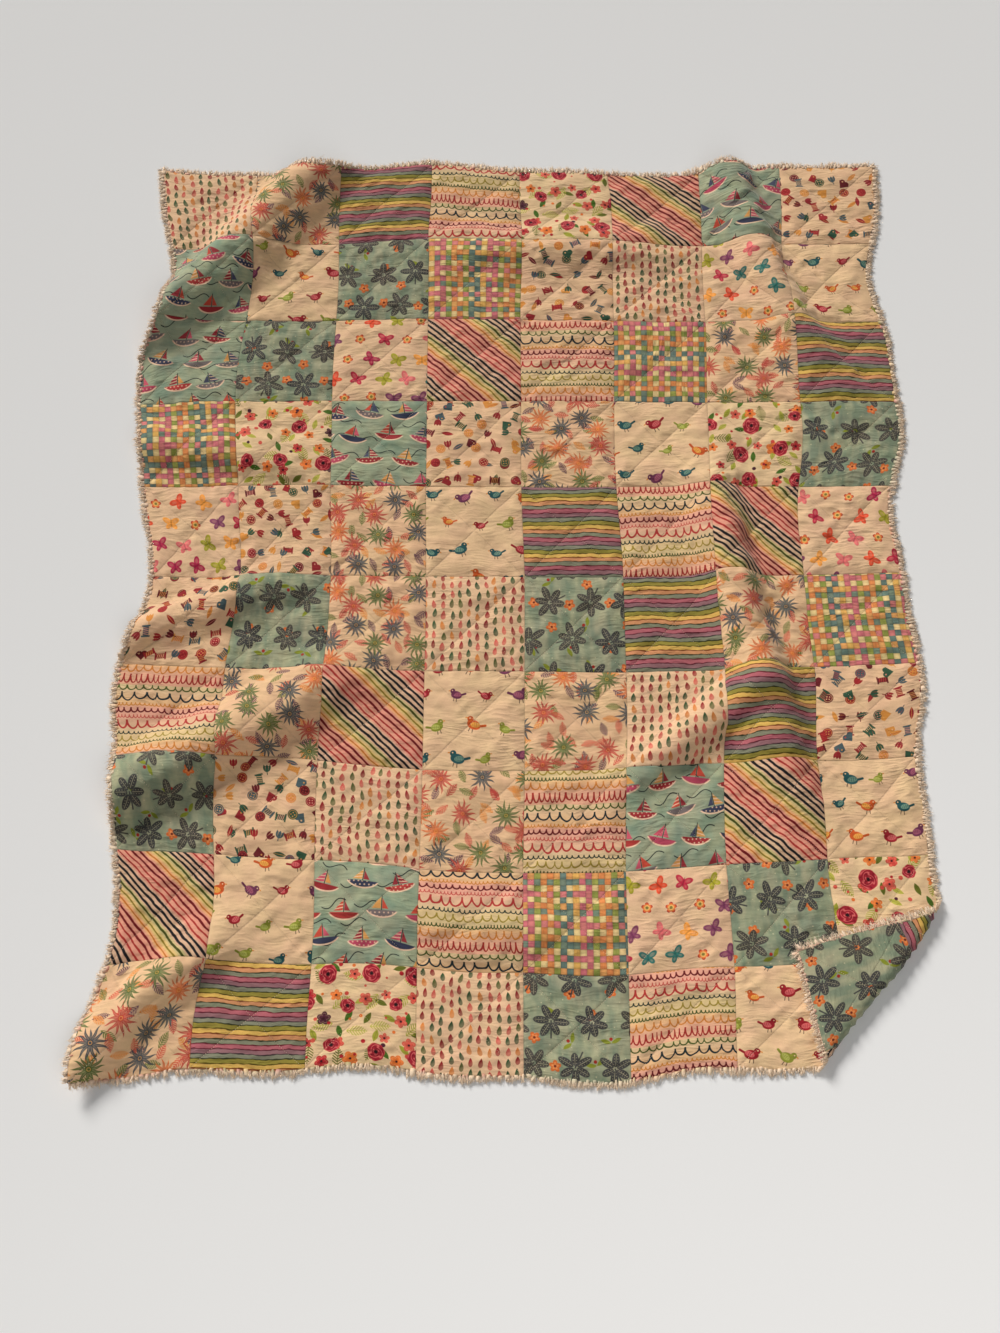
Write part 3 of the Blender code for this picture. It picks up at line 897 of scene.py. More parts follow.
@dataclass(frozen=True)
class DropsPrint:
    """Small upright drops of five colours on cream, in uneven columns."""

    pitch: Pair = (16.4, 13.4)  # up a column, and from column to column
    sway: float = 7.0  # how far the columns stray in all, and over what length
    sway_length: float = 30.0
    half_width: float = 3.7
    half_height: float = 7.2
    trim: float = 0.35  # taken off all round, so that nothing is left where the drop is narrowest
    inks: Inks = palette(
        (150, 28, 38), (52, 88, 54), (208, 102, 90), (88, 100, 50), (150, 28, 38), (212, 134, 66),
        (48, 84, 52), (202, 94, 84),
    )
    threads: Inks = (CREAM, CREAM, ink(206, 130, 110))

    def paint(self, press: Press) -> Wire:
        """Half a drop's width is the root of (1 + height) times (1 - height), tallest at 1.

        Each column is moved up by its own random share of a pitch. A cell's x runs up the column.
        """
        x, y = press.drawn(self.sway, self.sway_length)
        lift = press.chance((x / self.pitch[1]).floor(), 0.0, 9.0)[0] * self.pitch[0]
        columns = replace(press, x=y + lift, y=x)
        cell = columns.scatter(self.pitch, 4.0, jitter=2.2, turn=7.0)
        height = cell.x / self.half_height
        widest = math.sqrt(2 / 3) * 4 / 3
        half = (height + 1.0).most(0.0).root() * (1.0 - height) * (self.half_width / widest)
        colour = press.pick(cell.first, self.inks).toned(cell.second * 0.3 + 0.74)
        drop = press.lay(colour, CREAM, (cell.x - cell.y).inside(7.0) * 0.25)
        return press.lay(CREAM, drop, (abs(cell.y) - half + self.trim).inside())


@dataclass(frozen=True)
class BirdsPrint:
    """Small round birds with a striped wing, facing either way, on cream."""

    scale: float = 1.12
    pitch: Pair = (43.0, 41.0)
    bodies: Inks = palette(
        (150, 30, 42), (196, 92, 40), (140, 144, 56), (36, 84, 86), (112, 56, 84),
    )
    wings: Inks = palette(
        (206, 104, 104), (224, 168, 82), (176, 180, 96), (110, 142, 126), (166, 96, 116),
    )
    threads: Inks = (CREAM, CREAM, PALE_CREAM)

    def paint(self, press: Press) -> Wire:
        """A body and a head of ovals, a tail, two legs and a beak of rods, and a turned oval wing."""
        press = press.enlarged(self.scale)
        cell = press.scatter(self.pitch, 6.0, (9.0, 5.0), 8.0, 28.0, True)
        x, y = cell.x, cell.y
        size = cell.third * 0.3 + 0.72
        x, y = x / size, y / size
        legs = rod(x, y, (-1.0, -5.0), (-2.4, -11.0), 0.55).least(rod(x, y, (3.0, -5.0), (3.0, -11.0), 0.55))
        colour = press.lay(PALE_CREAM, ink(84, 62, 50), legs.inside())
        beak = rod(x, y, (11.0, 5.6), (14.2, 4.6), 0.8)
        colour = press.lay(colour, ink(206, 132, 52), beak.inside())
        head, tail = disc(x - 7.6, y - 5.4, 4.3), rod(x, y, (-7.0, 1.0), (-15.0, 5.6), 1.7)
        body = oval(x, y, 9.6, 6.6).least(head).least(tail)
        wash = press.noise(x, y, 6.0, 3.0) * 0.6 + 1.0
        colour = press.lay(colour, press.pick(cell.first, self.bodies).toned(wash), body.inside())
        wing_x, wing_y = turned(x + 2.0, y - 0.6, 158.0)
        wing = oval(wing_x, wing_y, 6.4, 3.7)
        colour = press.lay(colour, press.pick(cell.first, self.wings), wing.inside())
        bars = (from_middle(wing_x, 2.8) - 0.4).inside() * (wing + 0.8).inside()
        colour = press.lay(colour, press.pick(cell.first, self.bodies), bars * 0.8)
        return press.lay(colour, PALE_CREAM, disc(x - 8.6, y - 6.2, 0.95).inside(0.6))


def folded(x: Wire, y: Wire, count: int) -> tuple[Wire, Wire, Wire]:
    """Folds the round into equal sectors, the first of them upwards.

    Args:
        x, y: a place from the middle.
        count: how many sectors.

    Returns:
        The place's sector, and how far along and beside the sector's middle line it lies.
    """
    turn = x.math("ARCTAN2", x, y) * (count / (2 * math.pi)) + 0.5
    angle = (turn.fraction() - 0.5) * (2 * math.pi / count)
    radius = reach_of(x, y)
    return turn.floor().wrapped(float(count)), radius * angle.cosine(), radius * angle.sine()


def blossom(x: Wire, y: Wire, size: Number, depth: float) -> Wire:
    """Distance, near enough, to five round petals: a circle notched by a cosine of the angle."""
    petal = abs((y.math("ARCTAN2", y, x) * 2.5).cosine()) * (2 * depth)
    return reach_of(x, y) - petal - size + depth


@dataclass(frozen=True)
class LeafletsPrint:
    """Charcoal leaves of oval leaflets, orange blossoms, green leaf pairs and pale seeds on teal."""

    ground: Colour = ink(171, 171, 141)
    deep: Colour = ink(129, 142, 120)
    charcoals: Inks = palette((80, 77, 71), (72, 72, 70))
    pale: Colour = ink(196, 192, 158)
    leaflets: int = 6
    length: float = 27.0
    half: float = 5.6
    threads: Inks = palette((158, 162, 132), (180, 178, 144), (206, 188, 154))

    def leaf(self, press: Press, cell: Cell) -> tuple[Wire, Wire]:
        """Outlines of a leaf and its marks: an oval in each sector, a stem, pale ribs with a dot row."""
        sector, along, aside = folded(cell.x, cell.y, self.leaflets)
        size = press.chance(sector, cell.first * 50.0, 2.0)[0] * 0.3 + 0.74
        blade = oval(along / size - self.length * 0.56, aside, self.length * 0.44, self.half)
        stem = rod(cell.x, cell.y, (0.0, 0.0), (13.0, -21.0), 1.1)
        dots = disc(from_middle(along, 4.0), abs(aside) - 2.4, 0.55)
        return blade.least(stem), (abs(aside) - 0.35).least(dots).most(blade + 1.2)

    def paint(self, press: Press) -> Wire:
        """Mottled ground, then pale seeds, blossoms or leaf pairs with berries, and large leaves."""
        mottle = press.noise(press.x * 1.6, press.y * 0.6, 26.0, 1.0, 2.0) * 3.2 + 0.6
        colour = press.lay(self.ground, self.deep, mottle.clamped())
        seed = press.scatter((15.0, 13.0), 3.0, (4.0, 6.0), 9.0)
        seeds = disc(seed.x, seed.y, 0.95).inside() * seed.first.above(0.5) * 0.8
        colour = press.lay(colour, self.pale, seeds)
        small = press.scatter((58.0, 35.0), 9.0, (29.0, 4.0), 9.0, 180.0)
        x, y = small.x, small.y
        is_bloom = small.first.above(0.5)
        is_pair = 1.0 - is_bloom
        petals = blossom(x, y, 7.2, 1.7)
        petal_ink = press.lay(ink(206, 112, 56), ink(228, 158, 100), (petals + 3.4).inside(1.6) * 0.6)
        colour = press.lay(colour, petal_ink, petals.inside(0.8) * is_bloom)
        colour = press.lay(colour, ink(120, 50, 30), disc(x, y, 1.9).inside(0.8) * is_bloom)
        pair = lens(abs(x) - 7.5, y - abs(x) * 0.35, 7.5, 3.3)
        colour = press.lay(colour, ink(134, 142, 50), pair.inside(0.8) * is_pair)
        colour = press.lay(colour, ink(160, 48, 38), disc(x, y - 5.6, 2.5).inside(0.8) * is_pair)
        large = press.scatter((58.0, 62.0), 5.0, (0.0, 18.0), 8.0, 180.0)
        leaf, veins = self.leaf(press, large)
        tone = press.noise(large.x, large.y, 7.0, 2.0) * 0.6 + 1.0
        colour = press.lay(colour, press.pick(large.first, self.charcoals).toned(tone), leaf.inside(0.9))
        return press.lay(colour, self.pale, veins.inside() * 0.6)


@dataclass(frozen=True)
class AstersPrint:
    """Wiry asters in four colours, crowded among feathery leaves, on cream."""

    inks: Inks = palette(
        (56, 74, 84), (188, 72, 60), (208, 112, 60), (84, 106, 54), (52, 70, 82), (92, 112, 58),
    )
    sprigs: Inks = palette(
        (190, 78, 68), (108, 74, 86), (218, 144, 72), (112, 124, 62), (204, 100, 76),
    )
    ground: Colour = ink(220, 186, 148)
    feather: Feather = Feather(12.0, 5.4, 0.8, 3.1, 0.95, 0.45, 12.0)
    petals: int = 13
    length: float = 23.5
    half: float = 1.8
    threads: Inks = (SHELL_PINK, CREAM, ink(200, 110, 86))

    def head(self, press: Press, cell: Cell) -> Wire:
        """Outline of a flower head: a slender swayed petal in each sector, of uneven length."""
        sector, along, aside = folded(cell.x, cell.y, self.petals)
        size, phase, _ = press.chance(sector, cell.first * 50.0, 2.0)
        share = along / ((size * 0.34 + 0.7) * self.length)
        swayed = aside + (along * 0.32 + phase * 6.0).sine() * share * 1.3
        return abs(swayed) - (share.most(0.0).root() * (1.0 - share) * (2.6 * self.half))

    def paint(self, press: Press) -> Wire:
        """Feathery leaves are lens shapes cut by slanting gaps; two layers of heads lie over them."""
        colour: Dye = self.ground
        for seed, pitch, shift in ((3.0, (30.0, 27.0), (0.0, 0.0)), (13.0, (37.0, 34.0), (18.0, 11.0))):
            sprig = press.scatter(pitch, seed, shift, 11.0, 180.0)
            cover = self.feather.outline(sprig.x, sprig.y).inside(0.6) * sprig.second.above(0.25)
            colour = press.lay(colour, press.pick(sprig.first, self.sprigs), cover)
        for seed, shift in ((5.0, (0.0, 0.0)), (25.0, (33.0, 24.0))):
            cell = press.scatter((64.0, 56.0), seed, shift, 7.0, 180.0)
            head = self.head(press, cell)
            tone = press.noise(cell.x, cell.y, 6.0, 2.0) * 0.7 + 1.0
            tinted = press.pick(cell.first, self.inks).toned(tone)
            light = press.lay(tinted, ink(214, 186, 150), (head + 0.95).inside(0.8) * 0.3)
            shown = cell.third.above(0.1)
            colour = press.lay(colour, light, head.inside() * shown)
            middle = disc(cell.x, cell.y, 4.0)
            colour = press.lay(colour, tinted, middle.inside(0.9) * shown)
            ring = (abs(middle + 1.9) - 0.5).inside(0.8) * shown * 0.7
            colour = press.lay(colour, ink(222, 170, 96), ring)
        return colour


@dataclass(frozen=True)
class ButterfliesPrint:
    """Small butterflies in clear colours, and banded blossoms, on cream."""

    scale: float = 1.1
    inks: Inks = palette(
        (172, 40, 78), (214, 112, 112), (214, 82, 50), (228, 156, 72), (158, 152, 44), (52, 112, 104),
        (128, 66, 96), (180, 44, 70),
    )
    bands: Inks = palette((132, 126, 62), (226, 176, 104), (222, 118, 62), (176, 62, 52))
    threads: Inks = (CREAM, SHELL_PINK, ink(212, 130, 96))

    def paint(self, press: Press) -> Wire:
        """Wings are ovals mirrored about the body; a blossom's bands are looked up by its radius."""
        press = press.enlarged(self.scale)
        cell = press.scatter((36.0, 33.0), 7.0, (3.0, 8.0), 5.0, 70.0)
        is_bloom = cell.second.below(0.27)
        is_winged = 1.0 - is_bloom
        side = abs(cell.x)
        upper_x, upper_y = turned(side - 5.8, cell.y - 3.6, 34.0)
        lower_x, lower_y = turned(side - 4.4, cell.y + 4.6, -48.0)
        wings = oval(upper_x, upper_y, 7.2, 4.3).least(oval(lower_x, lower_y, 5.2, 3.4))
        body = oval(cell.x, cell.y, 1.2, 6.6)
        wash = press.noise(cell.x, cell.y, 6.0, 3.0) * 0.9 + 1.05
        colour = press.pick(cell.first, self.inks).toned(wash)
        pale = press.lay(colour, SHELL_PINK, (wings + 2.0).inside(1.2) * 0.22)
        print_ink = press.lay(CREAM, pale, wings.inside(0.8) * is_winged)
        dark = colour.toned(cell.third * 0.1 + 0.62)
        print_ink = press.lay(print_ink, dark, body.inside(0.8) * is_winged)
        petals = blossom(cell.x, cell.y, 6.4, 1.5)
        share = (reach_of(cell.x, cell.y) / 8.2).least(0.99)
        return press.lay(print_ink, press.pick(share, self.bands), petals.inside() * is_bloom)


@dataclass(frozen=True)
class FloralPrint:
    """Crimson roses, small red, plum and orange blooms, leaves and fern sprigs."""

    scale: float = 1.3
    fern: Feather = Feather(11.5, 6.0, 0.75, 3.0, 0.72, 0.4, 11.0)
    leaves: Inks = palette((78, 112, 34), (160, 160, 60), (104, 110, 36), (178, 174, 78))
    blooms: Inks = palette(
        (200, 78, 66), (78, 34, 50), (212, 116, 50), (176, 40, 48), (204, 92, 76),
    )
    ground: Colour = ink(222, 194, 154)
    threads: Inks = (PALE_CREAM, ink(226, 186, 150), ink(160, 150, 80))

    def paint(self, press: Press) -> Wire:
        """Leaves, then sprigs of slanting leaflets, then small blooms, then roses over them."""
        press = press.enlarged(self.scale)
        colour: Dye = self.ground
        leaf = press.scatter((22.0, 19.0), 2.0, (6.0, 3.0), 8.0, 180.0)
        blade = lens(leaf.x, leaf.y, 7.5, 3.1)
        vein = 1.0 - (abs(leaf.y) - 0.25).inside(0.6) * 0.3
        leaf_ink = press.pick(leaf.first, self.leaves).toned(vein)
        colour = press.lay(colour, leaf_ink, blade.inside() * leaf.second.above(0.35))
        sprig = press.scatter((33.0, 30.0), 12.0, (15.0, 11.0), 9.0, 180.0)
        cover = self.fern.outline(sprig.x, sprig.y).inside(0.6) * sprig.second.above(0.3)
        colour = press.lay(colour, press.pick(sprig.first, self.leaves[1:]), cover)
        bud = press.scatter((27.0, 25.0), 21.0, (11.0, 17.0), 9.0, 180.0)
        petals = blossom(bud.x, bud.y, bud.third * 3.0 + 4.4, 1.3)
        tone = press.noise(bud.x, bud.y, 4.0, 5.0) * 0.9 + 1.02
        shown = bud.second.above(0.3)
        bloom = press.pick(bud.first, self.blooms).toned(tone)
        light = press.lay(bloom, self.ground, (abs(petals + 2.0) - 0.3).inside(0.9) * 0.3)
        colour = press.lay(colour, light, petals.inside(0.8) * shown)
        colour = press.lay(colour, ink(58, 16, 22), disc(bud.x, bud.y, 1.3).inside(0.9) * shown)
        berry = press.scatter((15.0, 13.0), 41.0, (4.0, 7.0), 9.0)
        berries = disc(berry.x, berry.y, berry.third * 1.3 + 1.3).inside() * berry.second.above(0.68)
        colour = press.lay(colour, press.pick(berry.first, self.blooms), berries)
        rose = press.scatter((50.0, 43.0), 31.0, (20.0, 30.0), 17.0, 180.0)
        angle = rose.y.math("ARCTAN2", rose.y, rose.x)
        radius = reach_of(rose.x, rose.y * 1.12)
        size = rose.third * 4.8 + 7.6
        rim = radius - size - ((angle * 7.0 + 1.0).sine() + (angle * 3.0).sine()) * 0.28
        fold = (radius / 4.6 + (angle * 3.0 + radius * 0.7).sine() * 0.3).fraction()
        lit = (abs(fold - 0.5) - 0.12).inside(0.2) * 0.85
        petal_ink = press.lay(ink(160, 36, 52), ink(222, 116, 112), lit)
        petal_ink = press.lay(petal_ink, ink(104, 10, 26), (abs(fold - 0.12) - 0.05).inside(0.12) * 0.8)
        petal_ink = press.lay(petal_ink, ink(186, 60, 70), (rim * -1.0 - 0.9).inside(0.9) * 0.7)
        colour = press.lay(colour, petal_ink, rim.inside(0.8))
        return press.lay(colour, ink(40, 10, 16), (radius - 2.3).inside(1.6))


@dataclass(frozen=True)
class NotionsPrint:
    """Small buttons, hearts, thread spools, leaves and tulips, thrown about on cream."""

    scale: float = 1.05
    inks: Inks = palette(
        (156, 40, 44), (108, 32, 38), (54, 88, 66), (208, 144, 70), (76, 94, 98), (150, 44, 48),
    )
    seconds: Inks = palette((224, 156, 136), (214, 156, 88), (186, 72, 60), (228, 182, 136))
    ground: Colour = ink(220, 186, 150)
    threads: Inks = (CREAM, SHELL_PINK, ink(196, 140, 80))

    def shapes(self, x: Wire, y: Wire) -> tuple[tuple[Wire, Wire], ...]:
        """Each shape's outline, and the outline of its marks in a second ink."""
        wide, high = abs(x), abs(y)
        button = disc(x, y, 7.4)
        holes = disc(wide - 1.9, high - 1.9, 0.95).least(abs(button + 1.7) - 0.35)
        heart = disc(wide - 3.5, y - 1.8, 4.4).least((wide * 0.75 - y * 0.66 - 5.68).most(y - 1.8))
        spool = (wide - 4.0).most(high - 6.2).least((wide - 6.0).most(abs(high - 6.8) - 1.1))
        turns = (from_middle(y + x * 0.2, 2.6) - 0.5).most(wide - 3.6).most(high - 5.4)
        leaf = lens(x, y, 9.5, 3.2)
        tips = abs((x / 4.6).fraction() - 0.5) * 5.6
        tulip = oval(x, y, 5.6, 7.0).most(y - 1.6 - tips).least(rod(x, y, (0.0, -6.0), (0.6, -10.5), 0.6))
        return (
            (button, holes), (heart, disc(x + 3.6, y - 2.4, 1.2)), (spool, turns), (leaf, abs(y) - 0.3),
            (tulip, abs(wide - 2.3) - 0.3 + high * 0.08),
        )

    def paint(self, press: Press) -> Wire:
        """Two scattered layers; each cell's random share says which of the shapes it holds."""
        press = press.enlarged(self.scale)
        colour: Dye = self.ground
        for seed, pitch, shift in ((4.0, (29.0, 26.0), (2.0, 5.0)), (14.0, (35.0, 32.0), (17.0, 16.0))):
            cell = press.scatter(pitch, seed, shift, 5.0, 180.0)
            first = press.pick(cell.second, self.inks)
            second = press.pick(cell.third, self.seconds)
            shapes = self.shapes(cell.x, cell.y)
            for index, (shape, marks) in enumerate(shapes):
                held = abs((cell.first * len(shapes)).floor() - float(index)).below(0.5)
                face = press.lay(first, second, marks.most(shape + 0.5).inside() * 0.85)
                colour = press.lay(colour, face, shape.inside() * held)
        return colour


@dataclass(frozen=True)
class BoatsPrint:
    """Sailing boats with patterned hulls and curling wave lines on dusty teal."""

    ground: Colour = ink(164, 170, 142)
    deep: Colour = ink(132, 150, 130)
    hulls: Inks = palette(
        (152, 50, 54), (58, 62, 84), (182, 78, 100), (120, 110, 108), (170, 62, 58),
    )
    sails: Inks = palette(
        (188, 78, 60), (196, 92, 108), (74, 78, 98), (208, 154, 90), (148, 52, 58),
    )
    pale: Colour = ink(228, 196, 168)
    dark: Colour = ink(34, 40, 42)
    threads: Inks = palette((160, 166, 142), (196, 190, 158), (190, 100, 90))

    def paint(self, press: Press) -> Wire:
        """Waves are swayed lines; a boat is a cut oval under two three-sided sails."""
        mottle = press.noise(press.x, press.y, 28.0, 1.0, 2.0) * 3.0 + 0.6
        colour = press.lay(self.deep, self.ground, mottle.clamped())
        wave = press.scatter((52.0, 27.0), 3.0, (18.0, 8.0), 8.0, 24.0)
        crest = abs(wave.y - (wave.x * 0.16).sine() * 5.0)
        line = (crest / ((wave.x * 0.16).cosine() ** 2.0 * 0.6 + 1.0).root() - 0.75).most(abs(wave.x) - 19.0)
        colour = press.lay(colour, self.dark, line.inside() * wave.first.above(0.3))
        boat = press.scatter((56.0, 42.0), 6.0, (5.0, 20.0), 7.0, 18.0, True)
        x, y = boat.x, boat.y
        hull = oval(x, y - 1.5, 23.0, 14.0).most(y + 3.0)
        keel = oval(x, y - 1.5, 25.0, 16.2).most(y + 4.4)
        hull_ink = press.pick(boat.first, self.hulls)
        dot = press.scatter((6.4, 5.6), 16.0, jitter=1.0)
        dots = disc(dot.x, dot.y, 1.2).inside(0.8) * boat.second.above(0.4) * 0.7
        hull_ink = press.lay(hull_ink, self.pale, dots)
        sail = (x * -1.0 + 1.0).most(y * -1.0 - 1.0).most(x * 0.78 + y * 0.62 - 11.0)
        jib = (x + 1.0).most(y * -1.0 - 1.0).most(x * -0.86 + y * 0.5 - 8.0)
        stripes = ((y + x * 0.2) / 5.0).fraction().above(0.66) * boat.third.above(0.4) * 0.75
        sail_ink = press.lay(press.pick(boat.second, self.sails), self.pale, stripes)
        colour = press.lay(colour, self.pale, keel.inside(0.8))
        colour = press.lay(colour, hull_ink, hull.inside(0.8))
        colour = press.lay(colour, sail_ink, sail.inside(0.8))
        colour = press.lay(colour, press.pick(boat.third, self.sails), jib.inside(0.8))
        return press.lay(colour, self.dark, rod(x, y, (0.0, -3.0), (0.0, 18.0), 0.6).inside())


@dataclass(frozen=True)
class WeavePrint:
    """A plain basket-weave check: even bands that pass over and under each other by turns."""

    band: float = 9.5
    upright: Inks = palette(
        (108, 130, 120), (108, 130, 120), (216, 172, 96), (200, 116, 122), (200, 116, 122),
        (150, 156, 80), (214, 140, 84), (214, 140, 84), (150, 156, 80),
    )
    level: Inks = palette(
        (226, 202, 146), (208, 130, 126), (226, 202, 146), (122, 138, 120), (218, 162, 100),
    )
    threads: Inks = palette((204, 112, 104), (220, 150, 80), (120, 130, 104))

    def paint(self, press: Press) -> Wire:
        """Where the two band numbers add up to an even number the upright band lies on top."""
        x, y = press.drawn(1.6, 19.0)
        colours = []
        for place, along, inks in ((x, y, self.upright), (y, x, self.level)):
            colour = press.pick((place / (self.band * len(inks))).fraction(), inks)
            streak = press.noise(place * 4.0, along, 13.0, 4.0, 2.0) * 0.6 + 1.0
            edge = (from_middle(place, self.band) - self.band / 2 + 0.5).inside(1.0) * 0.35 + 0.65
            dive = (from_middle(along, self.band) - self.band / 2 + 1.6).inside(3.0) * 0.22 + 0.78
            colours.append(colour.toned(streak * edge * dive))
        total = (x / self.band).floor() + (y / self.band).floor()
        return press.lay(colours[0], colours[1], total.wrapped(2.0).above(0.5))


class Print(Enum):
    """The twelve printed cloths of the patchwork, each with what draws it."""

    STRIPES = StripesPrint()
    DIAGONAL = DiagonalPrint()
    SCALLOPS = ScallopsPrint()
    DROPS = DropsPrint()
    BIRDS = BirdsPrint()
    LEAFLETS = LeafletsPrint()
    ASTERS = AstersPrint()
    BUTTERFLIES = ButterfliesPrint()
    FLORAL = FloralPrint()
    NOTIONS = NotionsPrint()
    BOATS = BoatsPrint()
    WEAVE = WeavePrint()


# The patches of the face and of the back, from the front row to the far row, left to right.
FACE_CHART = (
    "asters stripes floral drops leaflets scallops birds drops",
    "diagonal birds boats scallops weave butterflies leaflets floral",
    "leaflets notions drops asters scallops boats diagonal birds",
    "scallops asters diagonal birds asters drops stripes notions",
    "notions leaflets asters drops leaflets stripes asters weave",
    "butterflies notions asters birds stripes scallops diagonal butterflies",
    "weave floral boats notions asters birds floral leaflets",
    "boats leaflets butterflies diagonal scallops weave asters stripes",
    "boats birds leaflets weave notions drops butterflies birds",
    "drops asters stripes scallops floral diagonal boats notions",
)
BACK_CHART = (
    "birds drops boats asters weave floral diagonal leaflets",
    "stripes butterflies leaflets notions birds scallops asters stripes",
    "floral scallops diagonal weave drops leaflets notions butterflies",
    "boats asters birds stripes floral diagonal butterflies scallops",
    "drops weave notions leaflets scallops birds boats asters",
    "leaflets diagonal floral drops butterflies asters stripes birds",
    "notions stripes asters boats leaflets weave scallops floral",
    "scallops birds drops butterflies notions stripes leaflets diagonal",
    "asters leaflets weave floral boats drops birds stripes",
    "butterflies boats scallops diagonal asters floral weave drops",
)
QUARTER_TURNS = {(7, 5): 1}  # patches of the face whose print lies on its side, as row and column


@dataclass(frozen=True)
class Patch:
    """One patch: its printed cloth, and how it is cut out of that."""

    cloth: Print
    offset: Pair
    turns: int


def cut_patches(chart: Sequence[str], seed: int, turns: dict[tuple[int, int], int]) -> list[list[Patch]]:
    """Cuts the patches of a chart, each from its own place on its printed cloth.

    Args:
        chart: names of prints, a line for each row.
        seed: another seed cuts at other places.
        turns: quarter turns by row and column.

    Returns:
        Rows of patches.
    """
    random = np.random.default_rng(seed)
    rows = []
    for row, line in enumerate(chart):
        offsets = random.uniform(0.0, 0.6, (COLUMNS, 2))
        cells = enumerate(zip(line.upper().split(), offsets.tolist()))
        rows.append(
            [Patch(Print[name], tuple(cut), turns.get((row, column), 0)) for column, (name, cut) in cells]
        )
    return rows


# -------- finishes


@dataclass(frozen=True)
class CottonFinish:
    """Soft printed cotton, washed and a little napped: how it takes light, and its weave."""

    roughness: float = 0.9
    sheen: float = 0.18
    sheen_roughness: float = 0.45
    specular: float = 0.25
    weave_pitch: float = 0.62
    weave_depth: float = 0.035
    nap_depth: float = 0.12
    crease_depth: float = 1.3
    crease_shade: float = 0.26  # painted shade: how much darker the creases' troughs are coloured than their crests
    groove: float = 0.45  # depth of the needle line at stitches and seams
    mottle: float = 0.16
    speck: float = 0.14
    stitch_shade: float = 0.07  # painted shade: how much darker the cloth is coloured right at its stitches and seams
    seam_shade: float = 0.24
    warm: Colour = (1.02, 1.02, 0.97, 1.0)  # the two tints that the ground wavers between
    rosy: Colour = (1.03, 0.96, 0.98, 1.0)
    depth: float = 1.10  # power that darkens the inks
    lift: float = 1.08  # factor that keeps the pale ground as light as it was

    def shader(self, material: Material) -> bpy.types.Node:
        """Gives a material its cotton shader."""
        material.use_nodes = True
        shader = material.node_tree.nodes["Principled BSDF"]
        shader.inputs["Roughness"].default_value = self.roughness
        shader.inputs["Sheen Weight"].default_value = self.sheen
        shader.inputs["Sheen Roughness"].default_value = self.sheen_roughness
        shader.inputs["Specular IOR Level"].default_value = self.specular
        return shader

    def creases(self, press: Press) -> Wire:
        """The small washed creases, about -0.5 to 0.5: long ridges where noise crosses its middle."""
        swayed = press.y + press.noise(press.x, press.y, 60.0, 36.0) * 22.0
        long = press.noise(press.x * 0.24, swayed, 8.0, 33.0, 1.0)
        short = press.noise(press.x * 0.5, swayed, 4.4, 34.0, 1.0)
        strength = (press.noise(press.x, press.y, 38.0, 39.0) * 2.2 + 0.62).clamped() * 0.75 + 0.25
        return (0.36 - abs(long) * 2.8 + short * 0.6) * strength

    def relief(self, press: Press) -> Wire:
        """The cloth's fine relief in millimetres: weave, nap, small creases and needle lines."""
        x, y = press.x, press.y
        turn = 2 * math.pi / self.weave_pitch
        weave = (x * turn).sine() * (y * turn).sine() * self.weave_depth
        nap = press.noise(x, y, 1.6, 31.0, 1.0) * self.nap_depth
        crease = self.creases(press) * self.crease_depth
        to_seam, to_stitches = press.to_lines()
        near_stitches = (to_stitches * -0.55 + 1.0).most(0.0)
        near_seam = (to_seam * -0.6 + 1.0).most(0.0)
        return weave + nap + crease - near_stitches.most(near_seam) * self.groove

    def dress(self, material: Material, print_cloth: Printed) -> None:
        """Draws a print on a material, with its dye's mottle, painted shade in the creases' troughs and along
        seams and stitches, and the cloth's relief.
        """
        shader = self.shader(material)
        tree = material.node_tree
        press = Press.on(tree)
        tone = press.noise(press.x, press.y, 15.0, 41.0, 2.0) * self.mottle
        # painted shade: the creases' troughs are coloured darker than their crests
        tone = tone + self.creases(press) * self.crease_shade
        tone = tone + press.noise(press.x, press.y, 0.9, 43.0) * self.speck
        blush = (press.noise(press.x, press.y, 34.0, 47.0, 1.0) * 2.4 + 0.5).clamped()
        colour = print_cloth.paint(press).deepened(self.depth)
        colour = colour.tinted(press.lay(self.warm, self.rosy, blush))
        # painted shade: the cloth is coloured darker along its seams and crossed stitches, where their
        # grooves fall in shade
        to_seam, to_stitches = press.to_lines()
        near_stitches = (to_stitches * -0.5 + 1.0).most(0.0) * self.stitch_shade
        shaded = 1.0 - near_stitches.most((to_seam * -0.75 + 1.0).most(0.0) * self.seam_shade)
        plug(tree, shader.inputs["Base Color"], colour.toned((tone + self.lift) * shaded))
        bump = add_node(tree, "ShaderNodeBump", {"Distance": 0.001, "Height": self.relief(press)})[0]
        plug(tree, shader.inputs["Normal"], bump)


@dataclass(frozen=True)
class ThreadFinish:
    """Loose cotton thread, coloured by the piece's own dye attribute."""

    roughness: float = 0.95
    sheen: float = 0.3
    streak: float = 0.22
    streaks: float = 900.0  # to a metre

    def dress(self, material: Material) -> None:
        """Reads the dye and adds fine streaks of light and dark."""
        material.use_nodes = True
        tree = material.node_tree
        shader = tree.nodes["Principled BSDF"]
        shader.inputs["Roughness"].default_value = self.roughness
        shader.inputs["Sheen Weight"].default_value = self.sheen
        place = Wire(tree, tree.nodes.new("ShaderNodeTexCoord").outputs["Object"])
        values = {"Vector": place, "Scale": self.streaks, "Detail": 1.0}
        noise = add_node(tree, "ShaderNodeTexNoise", values)[0]
        dye = add_node(tree, "ShaderNodeAttribute", {}, attribute_name="dye")[0]
        plug(tree, shader.inputs["Base Color"], dye.toned((noise - 0.5) * (2 * self.streak) + 1.0))


# -------- meshes


